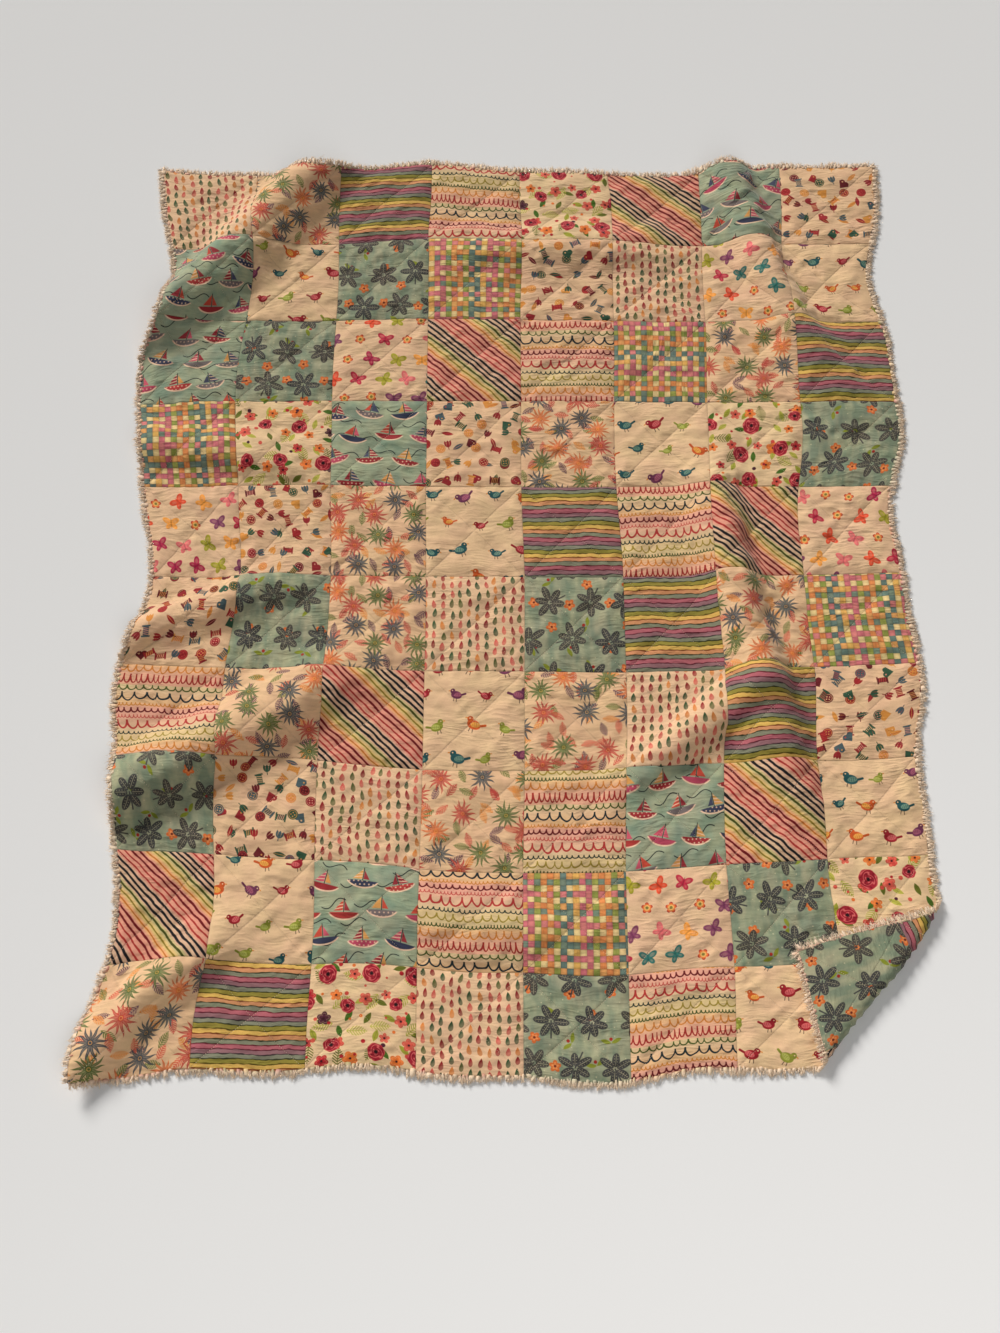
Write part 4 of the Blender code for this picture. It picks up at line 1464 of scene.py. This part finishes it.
def add_piece(name: str, points: Array, faces: Array) -> Object:
    """Makes an object of points and faces that all have the same number of corners.

    Args:
        name: the object's name.
        points: rows of x, y, z.
        faces: rows of point numbers, counter-clockwise from outside.

    Returns:
        The new object, smooth shaded, at the origin.
    """
    mesh = bpy.data.meshes.new(name)
    mesh.vertices.add(len(points))
    mesh.vertices.foreach_set("co", points.astype(np.float32).ravel())
    mesh.loops.add(faces.size)
    mesh.loops.foreach_set("vertex_index", faces.astype(np.int32).ravel())
    mesh.polygons.add(len(faces))
    mesh.polygons.foreach_set("loop_start", np.arange(len(faces), dtype=np.int32) * faces.shape[1])
    mesh.update(calc_edges=True)
    mesh.shade_smooth()
    piece = bpy.data.objects.new(name, mesh)
    bpy.context.scene.collection.objects.link(piece)
    return piece


def add_map(piece: Object, name: str, places: Array) -> None:
    """Gives a mesh a UV map, with one place for each corner of each face."""
    layer = piece.data.uv_layers.new(name=name, do_init=False)
    layer.uv.foreach_set("vector", places.astype(np.float32).ravel())


def add_dye(piece: Object, colours: Array) -> None:
    """Gives every point of a piece its colour: rows of red, green and blue."""
    dye = piece.data.attributes.new("dye", "FLOAT_COLOR", "POINT")
    rows = np.column_stack([colours, np.ones(len(colours))])
    dye.data.foreach_set("color", rows.astype(np.float32).ravel())


@dataclass(frozen=True)
class ClothLayer:
    """One printed side of the quilt, made as a strip of eight patches for each row."""

    name: str
    patches: list[list[Patch]]
    upward: bool
    cells: int
    lie: ClothLie
    quilting: Quilting
    atlas: int = 3  # patches to a side of the bake map
    margin: float = 0.006

    def strip(self, row: int, cells: int) -> Triple:
        """The grid of one row: flat points, faces, and each face's column of patches."""
        u, v = np.meshgrid(
            np.linspace(-HALF_WIDTH, HALF_WIDTH, COLUMNS * cells + 1),
            np.linspace(row * PATCH - HALF_LENGTH, (row + 1) * PATCH - HALF_LENGTH, cells + 1),
        )
        height = self.quilting.side(u, v, self.upward, self.lie.turned)
        flat = np.stack([u, v, height], axis=-1).reshape(-1, 3)
        across, up = np.meshgrid(np.arange(COLUMNS * cells), np.arange(cells))
        first = (up * (COLUMNS * cells + 1) + across).ravel()
        above = first + COLUMNS * cells + 1
        faces = np.stack([first, first + 1, above + 1, above], axis=1)
        if not self.upward:
            faces = faces[:, ::-1]
        return flat, faces, (across.ravel() // cells)

    def sew(self, row: int, materials: dict[Print, Material]) -> Object:
        """Makes one row of patches, with its maps and materials.

        Args:
            row: the row, counted from the front.
            materials: the material of each print.

        Returns:
            The row's object.
        """
        flat, faces, column = self.strip(row, self.cells)
        piece = add_piece(f"{self.name}_row_{row + 1:02d}", self.lie.lay(flat), faces)
        middle_v = np.full(len(column), (row - ROWS / 2 + 0.5) * PATCH)
        middle = np.stack([(column - COLUMNS / 2 + 0.5) * PATCH, middle_v], axis=1)
        place = flat[faces][:, :, :2] - middle[:, None, :]
        patches = self.patches[row]
        turn = np.array([patch.turns for patch in patches])[column] * math.pi / 2
        offset = np.array([patch.offset for patch in patches])[column]
        cosine, sine = np.cos(turn)[:, None], np.sin(turn)[:, None]
        a = place[:, :, 0] * (1.0 if self.upward else -1.0)
        b = place[:, :, 1]
        printed = np.stack([a * cosine - b * sine, a * sine + b * cosine], axis=-1) + offset[:, None, :]
        add_map(piece, "print", printed)
        add_map(piece, "patch", place)
        cell = np.stack([column % self.atlas, column // self.atlas], axis=1)[:, None, :]
        share = self.margin + (place / PATCH + 0.5) * (1 - 2 * self.margin)
        add_map(piece, "OFBake", (cell + share) / self.atlas)
        cloths = sorted({patch.cloth for patch in patches}, key=lambda cloth: cloth.name)
        for cloth in cloths:
            piece.data.materials.append(materials[cloth])
        slots = np.array([cloths.index(patch.cloth) for patch in patches], dtype=np.int32)
        piece.data.polygons.foreach_set("material_index", slots[column])
        return piece


def bundle(
    path: Array, half_width: Array, half_height: Array, across: Array, sides: int, twist: float = 0.0
) -> Triple:
    """Many short closed threads of the same make, as one set of points and triangles.

    Each thread is a tube round its path, closed by a point at both ends. A ring's points lie at
    even angles on an oval, across the thread and up.

    Args:
        path: places (u, v, w) along each thread, both end points among them.
        half_width: half the width at each place but the ends.
        half_height: half the height there.
        across: each thread's flat direction across it, as (u, v).
        sides: points in a ring.
        twist: how far the ring is turned, in steps from one of its points to the next.

    Returns:
        Flat points, triangles, and each triangle corner's share round and along the thread.
    """
    count, stations = path.shape[0], path.shape[1] - 2
    angle = (np.arange(sides) + twist) * 2 * math.pi / sides
    sideways = half_width[:, :, None] * np.cos(angle)
    upward = half_height[:, :, None] * np.sin(angle)
    across_u, across_v = across[:, None, None, 0], across[:, None, None, 1]
    ring = np.stack([sideways * across_u, sideways * across_v, upward], axis=-1)
    rings = (path[:, 1:-1, None, :] + ring).reshape(count, stations * sides, 3)
    points = np.concatenate([path[:, :1], rings, path[:, -1:]], axis=1)
    here = np.arange(sides)
    ahead = (here + 1) % sides
    last = stations * sides + 1
    triangles, shares = [], []

    def add(corners: Sequence[Array], round_share: Sequence[Array], along_share: Sequence[float]) -> None:
        """Adds one triangle for each side of the tube."""
        triangles.append(np.stack(corners, axis=1))
        pairs = [np.stack([r, np.full(sides, a)], axis=1) for r, a in zip(round_share, along_share)]
        shares.append(np.stack(pairs, axis=1))

    lower, upper = here / sides, (here + 1) / sides
    step = 1 / (stations + 1)
    add([np.zeros_like(here), 1 + ahead, 1 + here], [lower, upper, lower], [0, step, step])
    for station in range(stations - 1):
        base, above = 1 + station * sides, 1 + (station + 1) * sides
        low, high = (station + 1) * step, (station + 2) * step
        add([base + here, base + ahead, above + ahead], [lower, upper, upper], [low, low, high])
        add([base + here, above + ahead, above + here], [lower, upper, lower], [low, high, high])
    base = 1 + (stations - 1) * sides
    add([base + here, base + ahead, np.full(sides, last)], [lower, upper, lower], [1 - step, 1 - step, 1])
    template, template_shares = np.concatenate(triangles), np.concatenate(shares)
    offsets = np.arange(count)[:, None, None] * (last + 1)
    return points.reshape(-1, 3), (template + offsets).reshape(-1, 3), np.tile(template_shares, (count, 1, 1))


@dataclass(frozen=True)
class Stitching:
    """The two crossed lines of running stitches in each patch."""

    lie: ClothLie
    quilting: Quilting
    pitch: float = 0.0034
    share: float = 0.70  # of the pitch that a stitch takes
    thick: float = 0.00038
    stand: float = 0.00030  # how far a stitch's middle stands above the cloth
    sink: float = 0.0004

    def places(self) -> Triple:
        """Each stitch's two ends and its direction, flat: even steps along both diagonals."""
        half = PATCH / 2
        count = int(2 * half * math.sqrt(2) / self.pitch)
        centre = (np.arange(count) + 0.5) / count * 2 - 1
        reach = self.share / count
        column, row = np.meshgrid(np.arange(COLUMNS), np.arange(ROWS))
        middle = np.stack([column - COLUMNS / 2 + 0.5, row - ROWS / 2 + 0.5], axis=-1)
        middle = middle.reshape(-1, 1, 1, 2) * PATCH
        slant = np.array([[1.0, 1.0], [1.0, -1.0]])[None, :, None, :]
        near = middle + slant * (centre - reach)[None, None, :, None] * half
        far = middle + slant * (centre + reach)[None, None, :, None] * half
        direction = np.broadcast_to(slant / math.sqrt(2), near.shape)
        return near.reshape(-1, 2), far.reshape(-1, 2), direction.reshape(-1, 2)

    def sew(self, face: bool) -> Object:
        """Makes all the stitches that show on one side of the quilt.

        Args:
            face: whether the side is the face, and not the back.

        Returns:
            The stitches' object.
        """
        near, far, direction = self.places()
        middle = (near + far) / 2
        corner = self.lie.turned
        out = 1.0 if face else -1.0
        rows = []
        for flat, stand in ((near, -self.sink), (middle, self.stand), (far, -self.sink)):
            rows.append(np.column_stack([flat, self.quilting.side(*flat.T, face, corner) + out * stand]))
        if not face:
            lying = corner.past(*middle.T)[0] <= 0
            rows[1][lying, 2] = np.maximum(rows[1][lying, 2], self.thick)
        path = np.stack(rows, axis=1)
        across = np.stack([-direction[:, 1], direction[:, 0]], axis=1)
        size = np.full((len(path), 1), self.thick)
        points, triangles, _ = bundle(path, size, size, across, 4)
        return add_piece("stitches_face" if face else "stitches_back", self.lie.lay(points), triangles)


@dataclass(frozen=True)
class Side:
    """One raw side of the quilt: where it starts, how it runs, and which way is out."""

    name: str
    corner: tuple[int, int]
    run: tuple[int, int]
    out: tuple[int, int]
    patches: int

    @property
    def length(self) -> float:
        """The side's length."""
        return self.patches * PATCH

    def flat(self, places: Array) -> Array:
        """Turns places (along, outward, height) of the side into flat places (u, v, w)."""
        along, outward, height = places[..., 0], places[..., 1], places[..., 2]
        u = self.corner[0] * HALF_WIDTH + along * self.run[0] + outward * self.out[0]
        v = self.corner[1] * HALF_LENGTH + along * self.run[1] + outward * self.out[1]
        return np.stack([u, v, height], axis=-1)


SIDES = (
    Side("front", (-1, -1), (1, 0), (0, -1), COLUMNS),
    Side("back", (-1, 1), (1, 0), (0, 1), COLUMNS),
    Side("left", (-1, -1), (0, 1), (-1, 0), ROWS),
    Side("right", (1, -1), (0, 1), (1, 0), ROWS),
)


@dataclass(frozen=True)
class Fraying:
    """The raw edge: a thin band, snipped and frayed tabs of both cloths, and loose threads."""

    lie: ClothLie
    patches: list[list[Patch]]
    pitch: float = 0.0062
    tab_length: Pair = (0.0054, 0.0108)
    tab_width: Pair = (0.8, 1.25)  # as a share of its place
    tab_half_thick: float = 0.00045
    tab_root: Pair = (0.0012, 0.0052)  # how far inside the edge it starts
    tab_lean: float = 0.0022
    tab_rise: Pair = (-0.0016, 0.0012)
    tab_curl: float = 0.0006
    short_tabs: float = 0.25  # share of the tabs that are cut to a part of their length
    short_length: Pair = (0.3, 0.7)
    drift_pitch: float = 0.035  # over what length neighbours lean and grow alike, and how much
    drift_lean: float = 0.0016
    drift_length: float = 0.2
    base: float = 0.0008  # height of the back's tabs, and how much higher the face's are
    layer: float = 0.0017
    dive: float = 0.0012  # how deep a tab starts in the cloth
    edge_height: float = 0.0028  # the face just inside its edge, and how steeply it rises inwards
    edge_slope: float = 0.19
    threads_per_tab: int = 7
    thread_half_thick: float = 0.00031
    thread_thickness: Pair = (0.7, 1.2)  # times that, from thread to thread
    thread_spread: float = 0.58  # how far beside its tab's middle it starts, to the tab's width
    thread_root: Pair = (-0.15, 0.9)  # where along its tab it starts, to the tab's length
    thread_reach: Pair = (0.0006, 0.0050)  # past the end of its tab
    thread_splay: Pair = (0.0, 0.7)  # how much further aside it ends than it starts
    thread_bend: float = 0.0009  # how far it bends aside, and over what angle of a sine
    thread_turn: Pair = (3.0, 7.0)
    thread_fall: Pair = (0.05, 0.75)  # share of its height that it loses
    thread_hump: float = 0.0012
    thread_lowest: float = 0.00026
    tufts: float = 0.3  # share of the threads that are tufts, and how much thicker those are
    tuft_more: float = 1.3
    strays: float = 0.04  # share of the threads that reach further and bend more
    stray_reach: Pair = (0.005, 0.010)
    stray_bend: float = 2.5
    band_width: float = 0.0015
    band_cells: int = 40  # to a patch
    cream: Colour = ink(240, 216, 188)
    seed: int = 7

    def dye(self, side: Side, along: Array, random: np.random.Generator) -> Array:
        """A colour for each place along a side, from the threads of the patch that it leaves."""
        step = np.clip((along / PATCH).astype(int), 0, side.patches - 1)
        if side.run == (1, 0):
            cells = self.patches[0 if side.corner[1] < 0 else ROWS - 1]
        else:
            cells = [row[0 if side.corner[0] < 0 else COLUMNS - 1] for row in self.patches]
        table = np.array([[colour[:3] for colour in patch.cloth.value.threads] for patch in cells])
        return table[step, random.integers(0, table.shape[1], len(along))]

    def band(self, side: Side) -> Triple:
        """The frayed band: a thin flat tube along the side, its outer edge uneven."""
        stations = side.patches * self.band_cells + 1
        along = np.linspace(0, side.length, stations)
        edge = self.band_width * (1 + 0.6 * lattice_noise(along / 0.0021, along * 0, 3.0))
        inner = np.full(stations, -0.0016)
        corners = ((inner, 0.0004), (edge, 0.0004), (edge * 0.9, 0.0018), (inner, 0.0023))
        lines = [np.stack([along, outward, np.full(stations, height)], axis=1) for outward, height in corners]
        station, corner = np.meshgrid(np.arange(stations - 1), np.arange(4), indexing="ij")
        first = (station * 4 + corner).ravel()
        second = (station * 4 + (corner + 1) % 4).ravel()
        quads = np.stack([first, second, second + 4, first + 4], axis=1)
        here = np.stack([station.ravel(), corner.ravel()], axis=1)
        steps = np.array([[0, 0], [0, 1], [1, 1], [1, 0]])
        shares = (here[:, None, :] + steps) / np.array([stations - 1, 4])
        halves = ([0, 1, 2], [0, 2, 3])
        triangles = np.concatenate([quads[:, half] for half in halves])
        points = np.stack(lines, axis=1).reshape(-1, 3)
        return points, triangles, np.concatenate([shares[:, half] for half in halves])

    def snip(self, side: Side, random: np.random.Generator) -> dict[str, Array]:
        """Where each tab is and how it lies: one layer from the face's cloth, one from the back's.

        Args:
            side: the side that is snipped.
            random: what draws the tabs.

        Returns:
            Each of the tabs' sizes by its name, with a value for every tab.
        """
        count = round(side.length / self.pitch)
        share = random.uniform(0.3, 1.7, (2, count))
        share = share / share.sum(axis=1)[:, None]
        along = ((np.cumsum(share, axis=1) - share / 2) * side.length).ravel()
        drift = lattice_noise(along / self.drift_pitch, along * 0, 5.0)
        is_short = random.random(2 * count) < self.short_tabs
        short = np.where(is_short, random.uniform(*self.short_length, 2 * count), 1.0)
        upper = np.repeat([1.0, 0.0], count)
        edge = side.flat(np.stack([along, along * 0, along * 0], axis=-1))
        return {
            "along": np.clip(along, 0.002, side.length - 0.002),
            "width": share.ravel() * side.length * random.uniform(*self.tab_width, 2 * count),
            "length": random.uniform(*self.tab_length, 2 * count) * (1 + self.drift_length * drift) * short,
            "lean": random.normal(0, self.tab_lean, 2 * count) + self.drift_lean * drift,
            "base": self.base + self.layer * upper,
            "rise": random.uniform(*self.tab_rise, 2 * count) * upper,
            "curl": random.uniform(0.0, self.tab_curl, 2 * count),
            "root": random.uniform(*self.tab_root, 2 * count),
            "free": (1 - upper) * self.lie.turned.free(edge[:, 0], edge[:, 1]),
        }

    def tab_height(self, tab: dict[str, Array], share: Array) -> Array:
        """A tab's height at a share of its length: a rise that grows as the square, and a hump."""
        rise = tab["rise"][:, None] * share * share
        hump = tab["curl"][:, None] * np.sin(share * math.pi)
        return np.maximum(tab["base"][:, None] + rise + hump, 0.0006)

    def tabs(self, tab: dict[str, Array]) -> Triple:
        """The tabs' bodies: thin lobes that rise out of the cloth and grow narrow at the end.

        An upper tab comes out of the face. A lower one comes out of the edge, or out of the back
        where the corner is turned.
        """
        share = np.array([[0.0, 0.16, 0.44, 0.74, 0.93, 1.0]])
        width = np.array([0.85, 1.0, 0.84, 0.4])
        along = tab["along"][:, None] + tab["lean"][:, None] * share**1.6
        outward = -tab["root"][:, None] + (tab["length"] + tab["root"])[:, None] * share
        height = self.tab_height(tab, share)
        dive = self.dive * (share == 0)
        on_cloth = np.maximum(height, self.edge_height - self.edge_slope * outward) - dive
        on_back = height + tab["free"][:, None] * (dive - 0.0008 * smooth(1 - outward / 0.016))
        is_upper = tab["base"][:, None] > self.base
        height = np.where(is_upper, np.where(outward < 0, on_cloth, height), on_back)
        path = np.stack([along, outward, height], axis=-1)
        half_width = (tab["width"] * (1 - 0.4 * tab["free"]))[:, None] * width * 0.5
        half_height = np.broadcast_to(self.tab_half_thick * width, half_width.shape)
        across = np.tile([1.0, 0.0], (len(along), 1))
        return bundle(path, half_width, half_height, across, 4, 0.5)

    def threads(
        self, tab: dict[str, Array], random: np.random.Generator
    ) -> tuple[Array, Array, Array, Array]:
        """Loose threads out of the tabs' ends and sides, thin, tapered and curled.

        Args:
            tab: the tabs.
            random: what draws the threads.

        Returns:
            Points, triangles and shares, as a bundle has them, and the number of each thread's tab.
        """
        owner = np.repeat(np.arange(len(tab["along"])), self.threads_per_tab)
        count = len(owner)
        held = {name: values[owner] for name, values in tab.items()}
        offset = random.uniform(-self.thread_spread, self.thread_spread, count) * held["width"]
        root = random.uniform(*self.thread_root, count)
        stray = random.random(count) < self.strays
        far_reach = random.uniform(*self.stray_reach, count)
        beyond = np.where(stray, far_reach, random.uniform(*self.thread_reach, count))
        far = held["length"] * (1 - 0.7 * (offset / held["width"]) ** 2) + beyond
        share = np.array([[0.0, 0.07, 0.38, 0.72, 1.0]])
        bend = random.normal(0, self.thread_bend, (count, 1)) * (1 + self.stray_bend * stray[:, None])
        curl = bend * np.sin(share * random.uniform(*self.thread_turn, (count, 1)))
        splay = (offset * random.uniform(*self.thread_splay, count))[:, None]
        start = (root * held["length"])[:, None]
        along = (held["along"] + offset)[:, None] + (held["lean"] * root)[:, None] + splay * share + curl
        outward = start + (far[:, None] - start) * share
        lifted = self.tab_height(held, root[:, None]) + 0.0005
        fall = random.uniform(*self.thread_fall, (count, 1))
        hump = self.thread_hump * random.random((count, 1)) * np.sin(share * math.pi)
        height = lifted * (1 - share * share * fall) + hump
        height = np.maximum(height, self.thread_lowest) - 0.0021 * held["free"][:, None]
        path = np.stack([along, outward, height], axis=-1)
        tuft = 1 + self.tuft_more * (random.random((count, 1)) < self.tufts) * (1 - stray[:, None])
        thick = self.thread_half_thick * random.uniform(*self.thread_thickness, (count, 1))
        half = thick * tuft * np.array([1.0, 1.0, 0.7])
        return (*bundle(path, half, half * 0.8, np.tile([1.0, 0.0], (count, 1)), 3), owner)

    def fray(self, side: Side, material: Material) -> Object:
        """Makes one side's frayed edge as a single piece.

        Args:
            side: the side.
            material: the threads' material.

        Returns:
            The frayed edge's object.
        """
        random = np.random.default_rng(self.seed + side.patches + 3 * side.corner[0] + side.corner[1])
        tab = self.snip(side, random)
        band_points, band_faces, band_shares = self.band(side)
        tab_points, tab_faces, tab_shares = self.tabs(tab)
        thread_points, thread_faces, thread_shares, owner = self.threads(tab, random)
        points = np.concatenate([band_points, tab_points, thread_points])
        first_thread = len(band_points) + len(tab_points)
        faces = np.concatenate([band_faces, tab_faces + len(band_points), thread_faces + first_thread])
        places = np.concatenate(
            [
                band_shares * np.array([1.0, 0.036]),
                self.tile(tab_shares, len(tab["along"]), 0.04, 0.40),
                self.tile(thread_shares, len(owner), 0.44, 0.56),
            ]
        )
        if side.run[0] * side.out[1] - side.run[1] * side.out[0] < 0:
            faces, places = faces[:, ::-1], places[:, ::-1]
        piece = add_piece(f"frayed_{side.name}", self.lie.lay(side.flat(points)), faces)
        parts = (band_points, tab_points, thread_points)
        add_dye(piece, self.dyes(side, parts, (tab["along"], tab["along"][owner]), random))
        add_map(piece, "OFBake", places)
        piece.data.materials.append(material)
        return piece

    def tile(self, shares: Array, count: int, start: float, height: float) -> Array:
        """Spreads many threads' shares over cells of the bake map, in rows from a start up."""
        rows = max(1, round(math.sqrt(count * height)))
        columns = math.ceil(count / rows)
        index = np.arange(count)
        cell = np.stack([index % columns, index // columns], axis=1)[:, None, None, :]
        inner = 0.08 + shares.reshape(count, -1, 3, 2) * 0.84
        spread = (cell + inner) / np.array([columns, rows]) * np.array([1.0, height]) + np.array([0.0, start])
        return spread.reshape(-1, 3, 2)

    def dyes(
        self,
        side: Side,
        parts: Triple,
        places: tuple[Array, Array],
        random: np.random.Generator,
    ) -> Array:
        """Every point's colour: as the patch's cloth at the root, and paler and paler outwards.

        Args:
            side: the side.
            parts: the points of the band, the tabs and the threads.
            places: where along the side each tab and each thread is.
            random: what draws the colours.

        Returns:
            Rows of red, green and blue, in the order of the points.
        """
        band, tabs, threads = parts
        cream = np.array(self.cream[:3])
        colours = [self.dye(side, band[:, 0], random) * 0.55 + cream * 0.36]
        for points, along, paleness, spread in (
            (tabs, places[0], (0.12, 0.86), 0.09),
            (threads, places[1], (0.45, 1.0), 0.10),
        ):
            each = len(points) // len(along)
            dye = np.repeat(self.dye(side, along, random), each, axis=0)
            light = np.repeat(1 + random.uniform(-spread, spread, len(along)), each)[:, None]
            outward = smooth((points[:, 1] + 0.005) / 0.010)[:, None]
            pale = paleness[0] + (paleness[1] - paleness[0]) * outward
            colours.append((dye * (1 - pale) + cream * pale) * light)
        return np.concatenate(colours)


# -------- the quilt and the studio


@dataclass
class Quilt:
    """The whole quilt: two printed layers in rows, the stitching and the four frayed sides."""

    lie: ClothLie = field(default_factory=ClothLie.over_solid)
    quilting: Quilting = Quilting()
    face_cells: int = 56
    back_cells: int = 14
    stitch_thread: Colour = ink(236, 208, 176)

    def materials(self) -> dict[Print, Material]:
        """One cotton material for each print."""
        finish = CottonFinish()
        made = {}
        for cloth in Print:
            made[cloth] = bpy.data.materials.new(f"{cloth.name.lower()}_cotton")
            finish.dress(made[cloth], cloth.value)
        return made

    def declare_row(self, piece: Object) -> None:
        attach(piece, "root")
        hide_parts("quilt")

    def build(self) -> None:
        """Makes every piece, in the order in which the quilt is sewn."""
        materials = self.materials()
        face_patches = cut_patches(FACE_CHART, 3, QUARTER_TURNS)
        back_patches = cut_patches(BACK_CHART, 8, {})
        thread = bpy.data.materials.new("frayed_cotton")
        ThreadFinish().dress(thread)
        fraying = Fraying(self.lie, face_patches)
        frayed = {side.name: fraying.fray(side, thread) for side in SIDES}
        for name, piece in frayed.items():
            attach(piece, "root")
            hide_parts(f"fringe_{name}")
            LOG.info("frayed %s side: %d faces", name, len(piece.data.polygons))
        for layer in (
            ClothLayer("top", face_patches, True, self.face_cells, self.lie, self.quilting),
            ClothLayer("backing", back_patches, False, self.back_cells, self.lie, self.quilting),
        ):
            for row in range(ROWS):
                piece = layer.sew(row, materials)
                self.declare_row(piece)
                LOG.info("%s: %d faces", piece.name, len(piece.data.polygons))
        stitching = Stitching(self.lie, self.quilting)
        for face in (True, False):
            piece = stitching.sew(face)
            add_dye(piece, np.tile(self.stitch_thread[:3], (len(piece.data.vertices), 1)))
            piece.data.materials.append(thread)
            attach(piece, "root")
            LOG.info("%s: %d faces", piece.name, len(piece.data.polygons))


@dataclass(frozen=True)
class Studio:
    """A plain pale floor, soft light, and a camera above the quilt's front."""

    elevation: float = 69.5
    distance: float = 2.585
    lens: float = 45.0
    aim: tuple[float, float, float] = (-0.022, -0.152, 0.0)
    floor_size: float = 14.0
    floor_gap: float = 0.0004  # how far the floor lies under the quilt
    floor_tone: float = 0.86

    def floor(self) -> None:
        """A wide pale floor just under the quilt."""
        half = self.floor_size / 2
        corners = ((-half, -half), (half, -half), (half, half), (-half, half))
        points = np.array([[x, y, -self.floor_gap] for x, y in corners])
        piece = add_piece("studio_floor", points, np.array([[0, 1, 2, 3]]))
        material = bpy.data.materials.new("studio_floor")
        material.use_nodes = True
        shader = material.node_tree.nodes["Principled BSDF"]
        shader.inputs["Base Color"].default_value = (self.floor_tone, self.floor_tone, self.floor_tone, 1)
        shader.inputs["Roughness"].default_value = 1.0
        shader.inputs["Specular IOR Level"].default_value = 0.0
        piece.data.materials.append(material)

    def lamp(self, data: bpy.types.Light, place: Sequence[float], power: float, warmth: float) -> None:
        """Puts a lamp at a place, looking at the quilt's middle."""
        data.energy = power
        data.color = (1.0, 1.0 - 0.4 * warmth, 1.0 - warmth)
        lamp = bpy.data.objects.new(data.name, data)
        lamp.location = place
        lamp.rotation_euler = (-Vector(place)).to_track_quat("-Z", "Y").to_euler()
        bpy.context.scene.collection.objects.link(lamp)

    def light(self) -> None:
        """A low even light from behind on the left, a soft fill from the front, and a pale sky."""
        window = bpy.data.lights.new("window_light", "SUN")
        window.angle = math.radians(18)
        self.lamp(window, (-1.5, 2.2, 1.42), 3.55, 0.06)
        fill = bpy.data.lights.new("front_fill", "AREA")
        fill.size = 2.4
        self.lamp(fill, (0.6, -2.3, 1.9), 22.0, 0.05)
        world = bpy.data.worlds.new("studio_air")
        bpy.context.scene.world = world
        world.use_nodes = True
        air = world.node_tree.nodes["Background"]
        air.inputs["Color"].default_value = (1.0, 1.0, 1.0, 1)
        air.inputs["Strength"].default_value = 0.15

    def camera(self) -> None:
        """A camera that looks along +Y and down at the elevation."""
        data = bpy.data.cameras.new("camera")
        data.lens = self.lens
        camera = bpy.data.objects.new("camera", data)
        angle = math.radians(self.elevation)
        back = Vector((0, -math.cos(angle), math.sin(angle)))
        camera.location = Vector(self.aim) + back * self.distance
        camera.rotation_euler = (-back).to_track_quat("-Z", "Y").to_euler()
        bpy.context.scene.collection.objects.link(camera)
        bpy.context.scene.camera = camera

    def set_up(self) -> None:
        """Makes the camera, floor and lights."""
        self.camera()
        self.floor()
        self.light()
        bpy.context.scene.view_settings.view_transform = "Standard"


def main() -> None:
    """Builds the studio and the quilt."""
    logging.basicConfig(level=logging.INFO, format="%(message)s")
    Studio().set_up()
    Quilt().build()


if __name__ == "__main__":
    main()
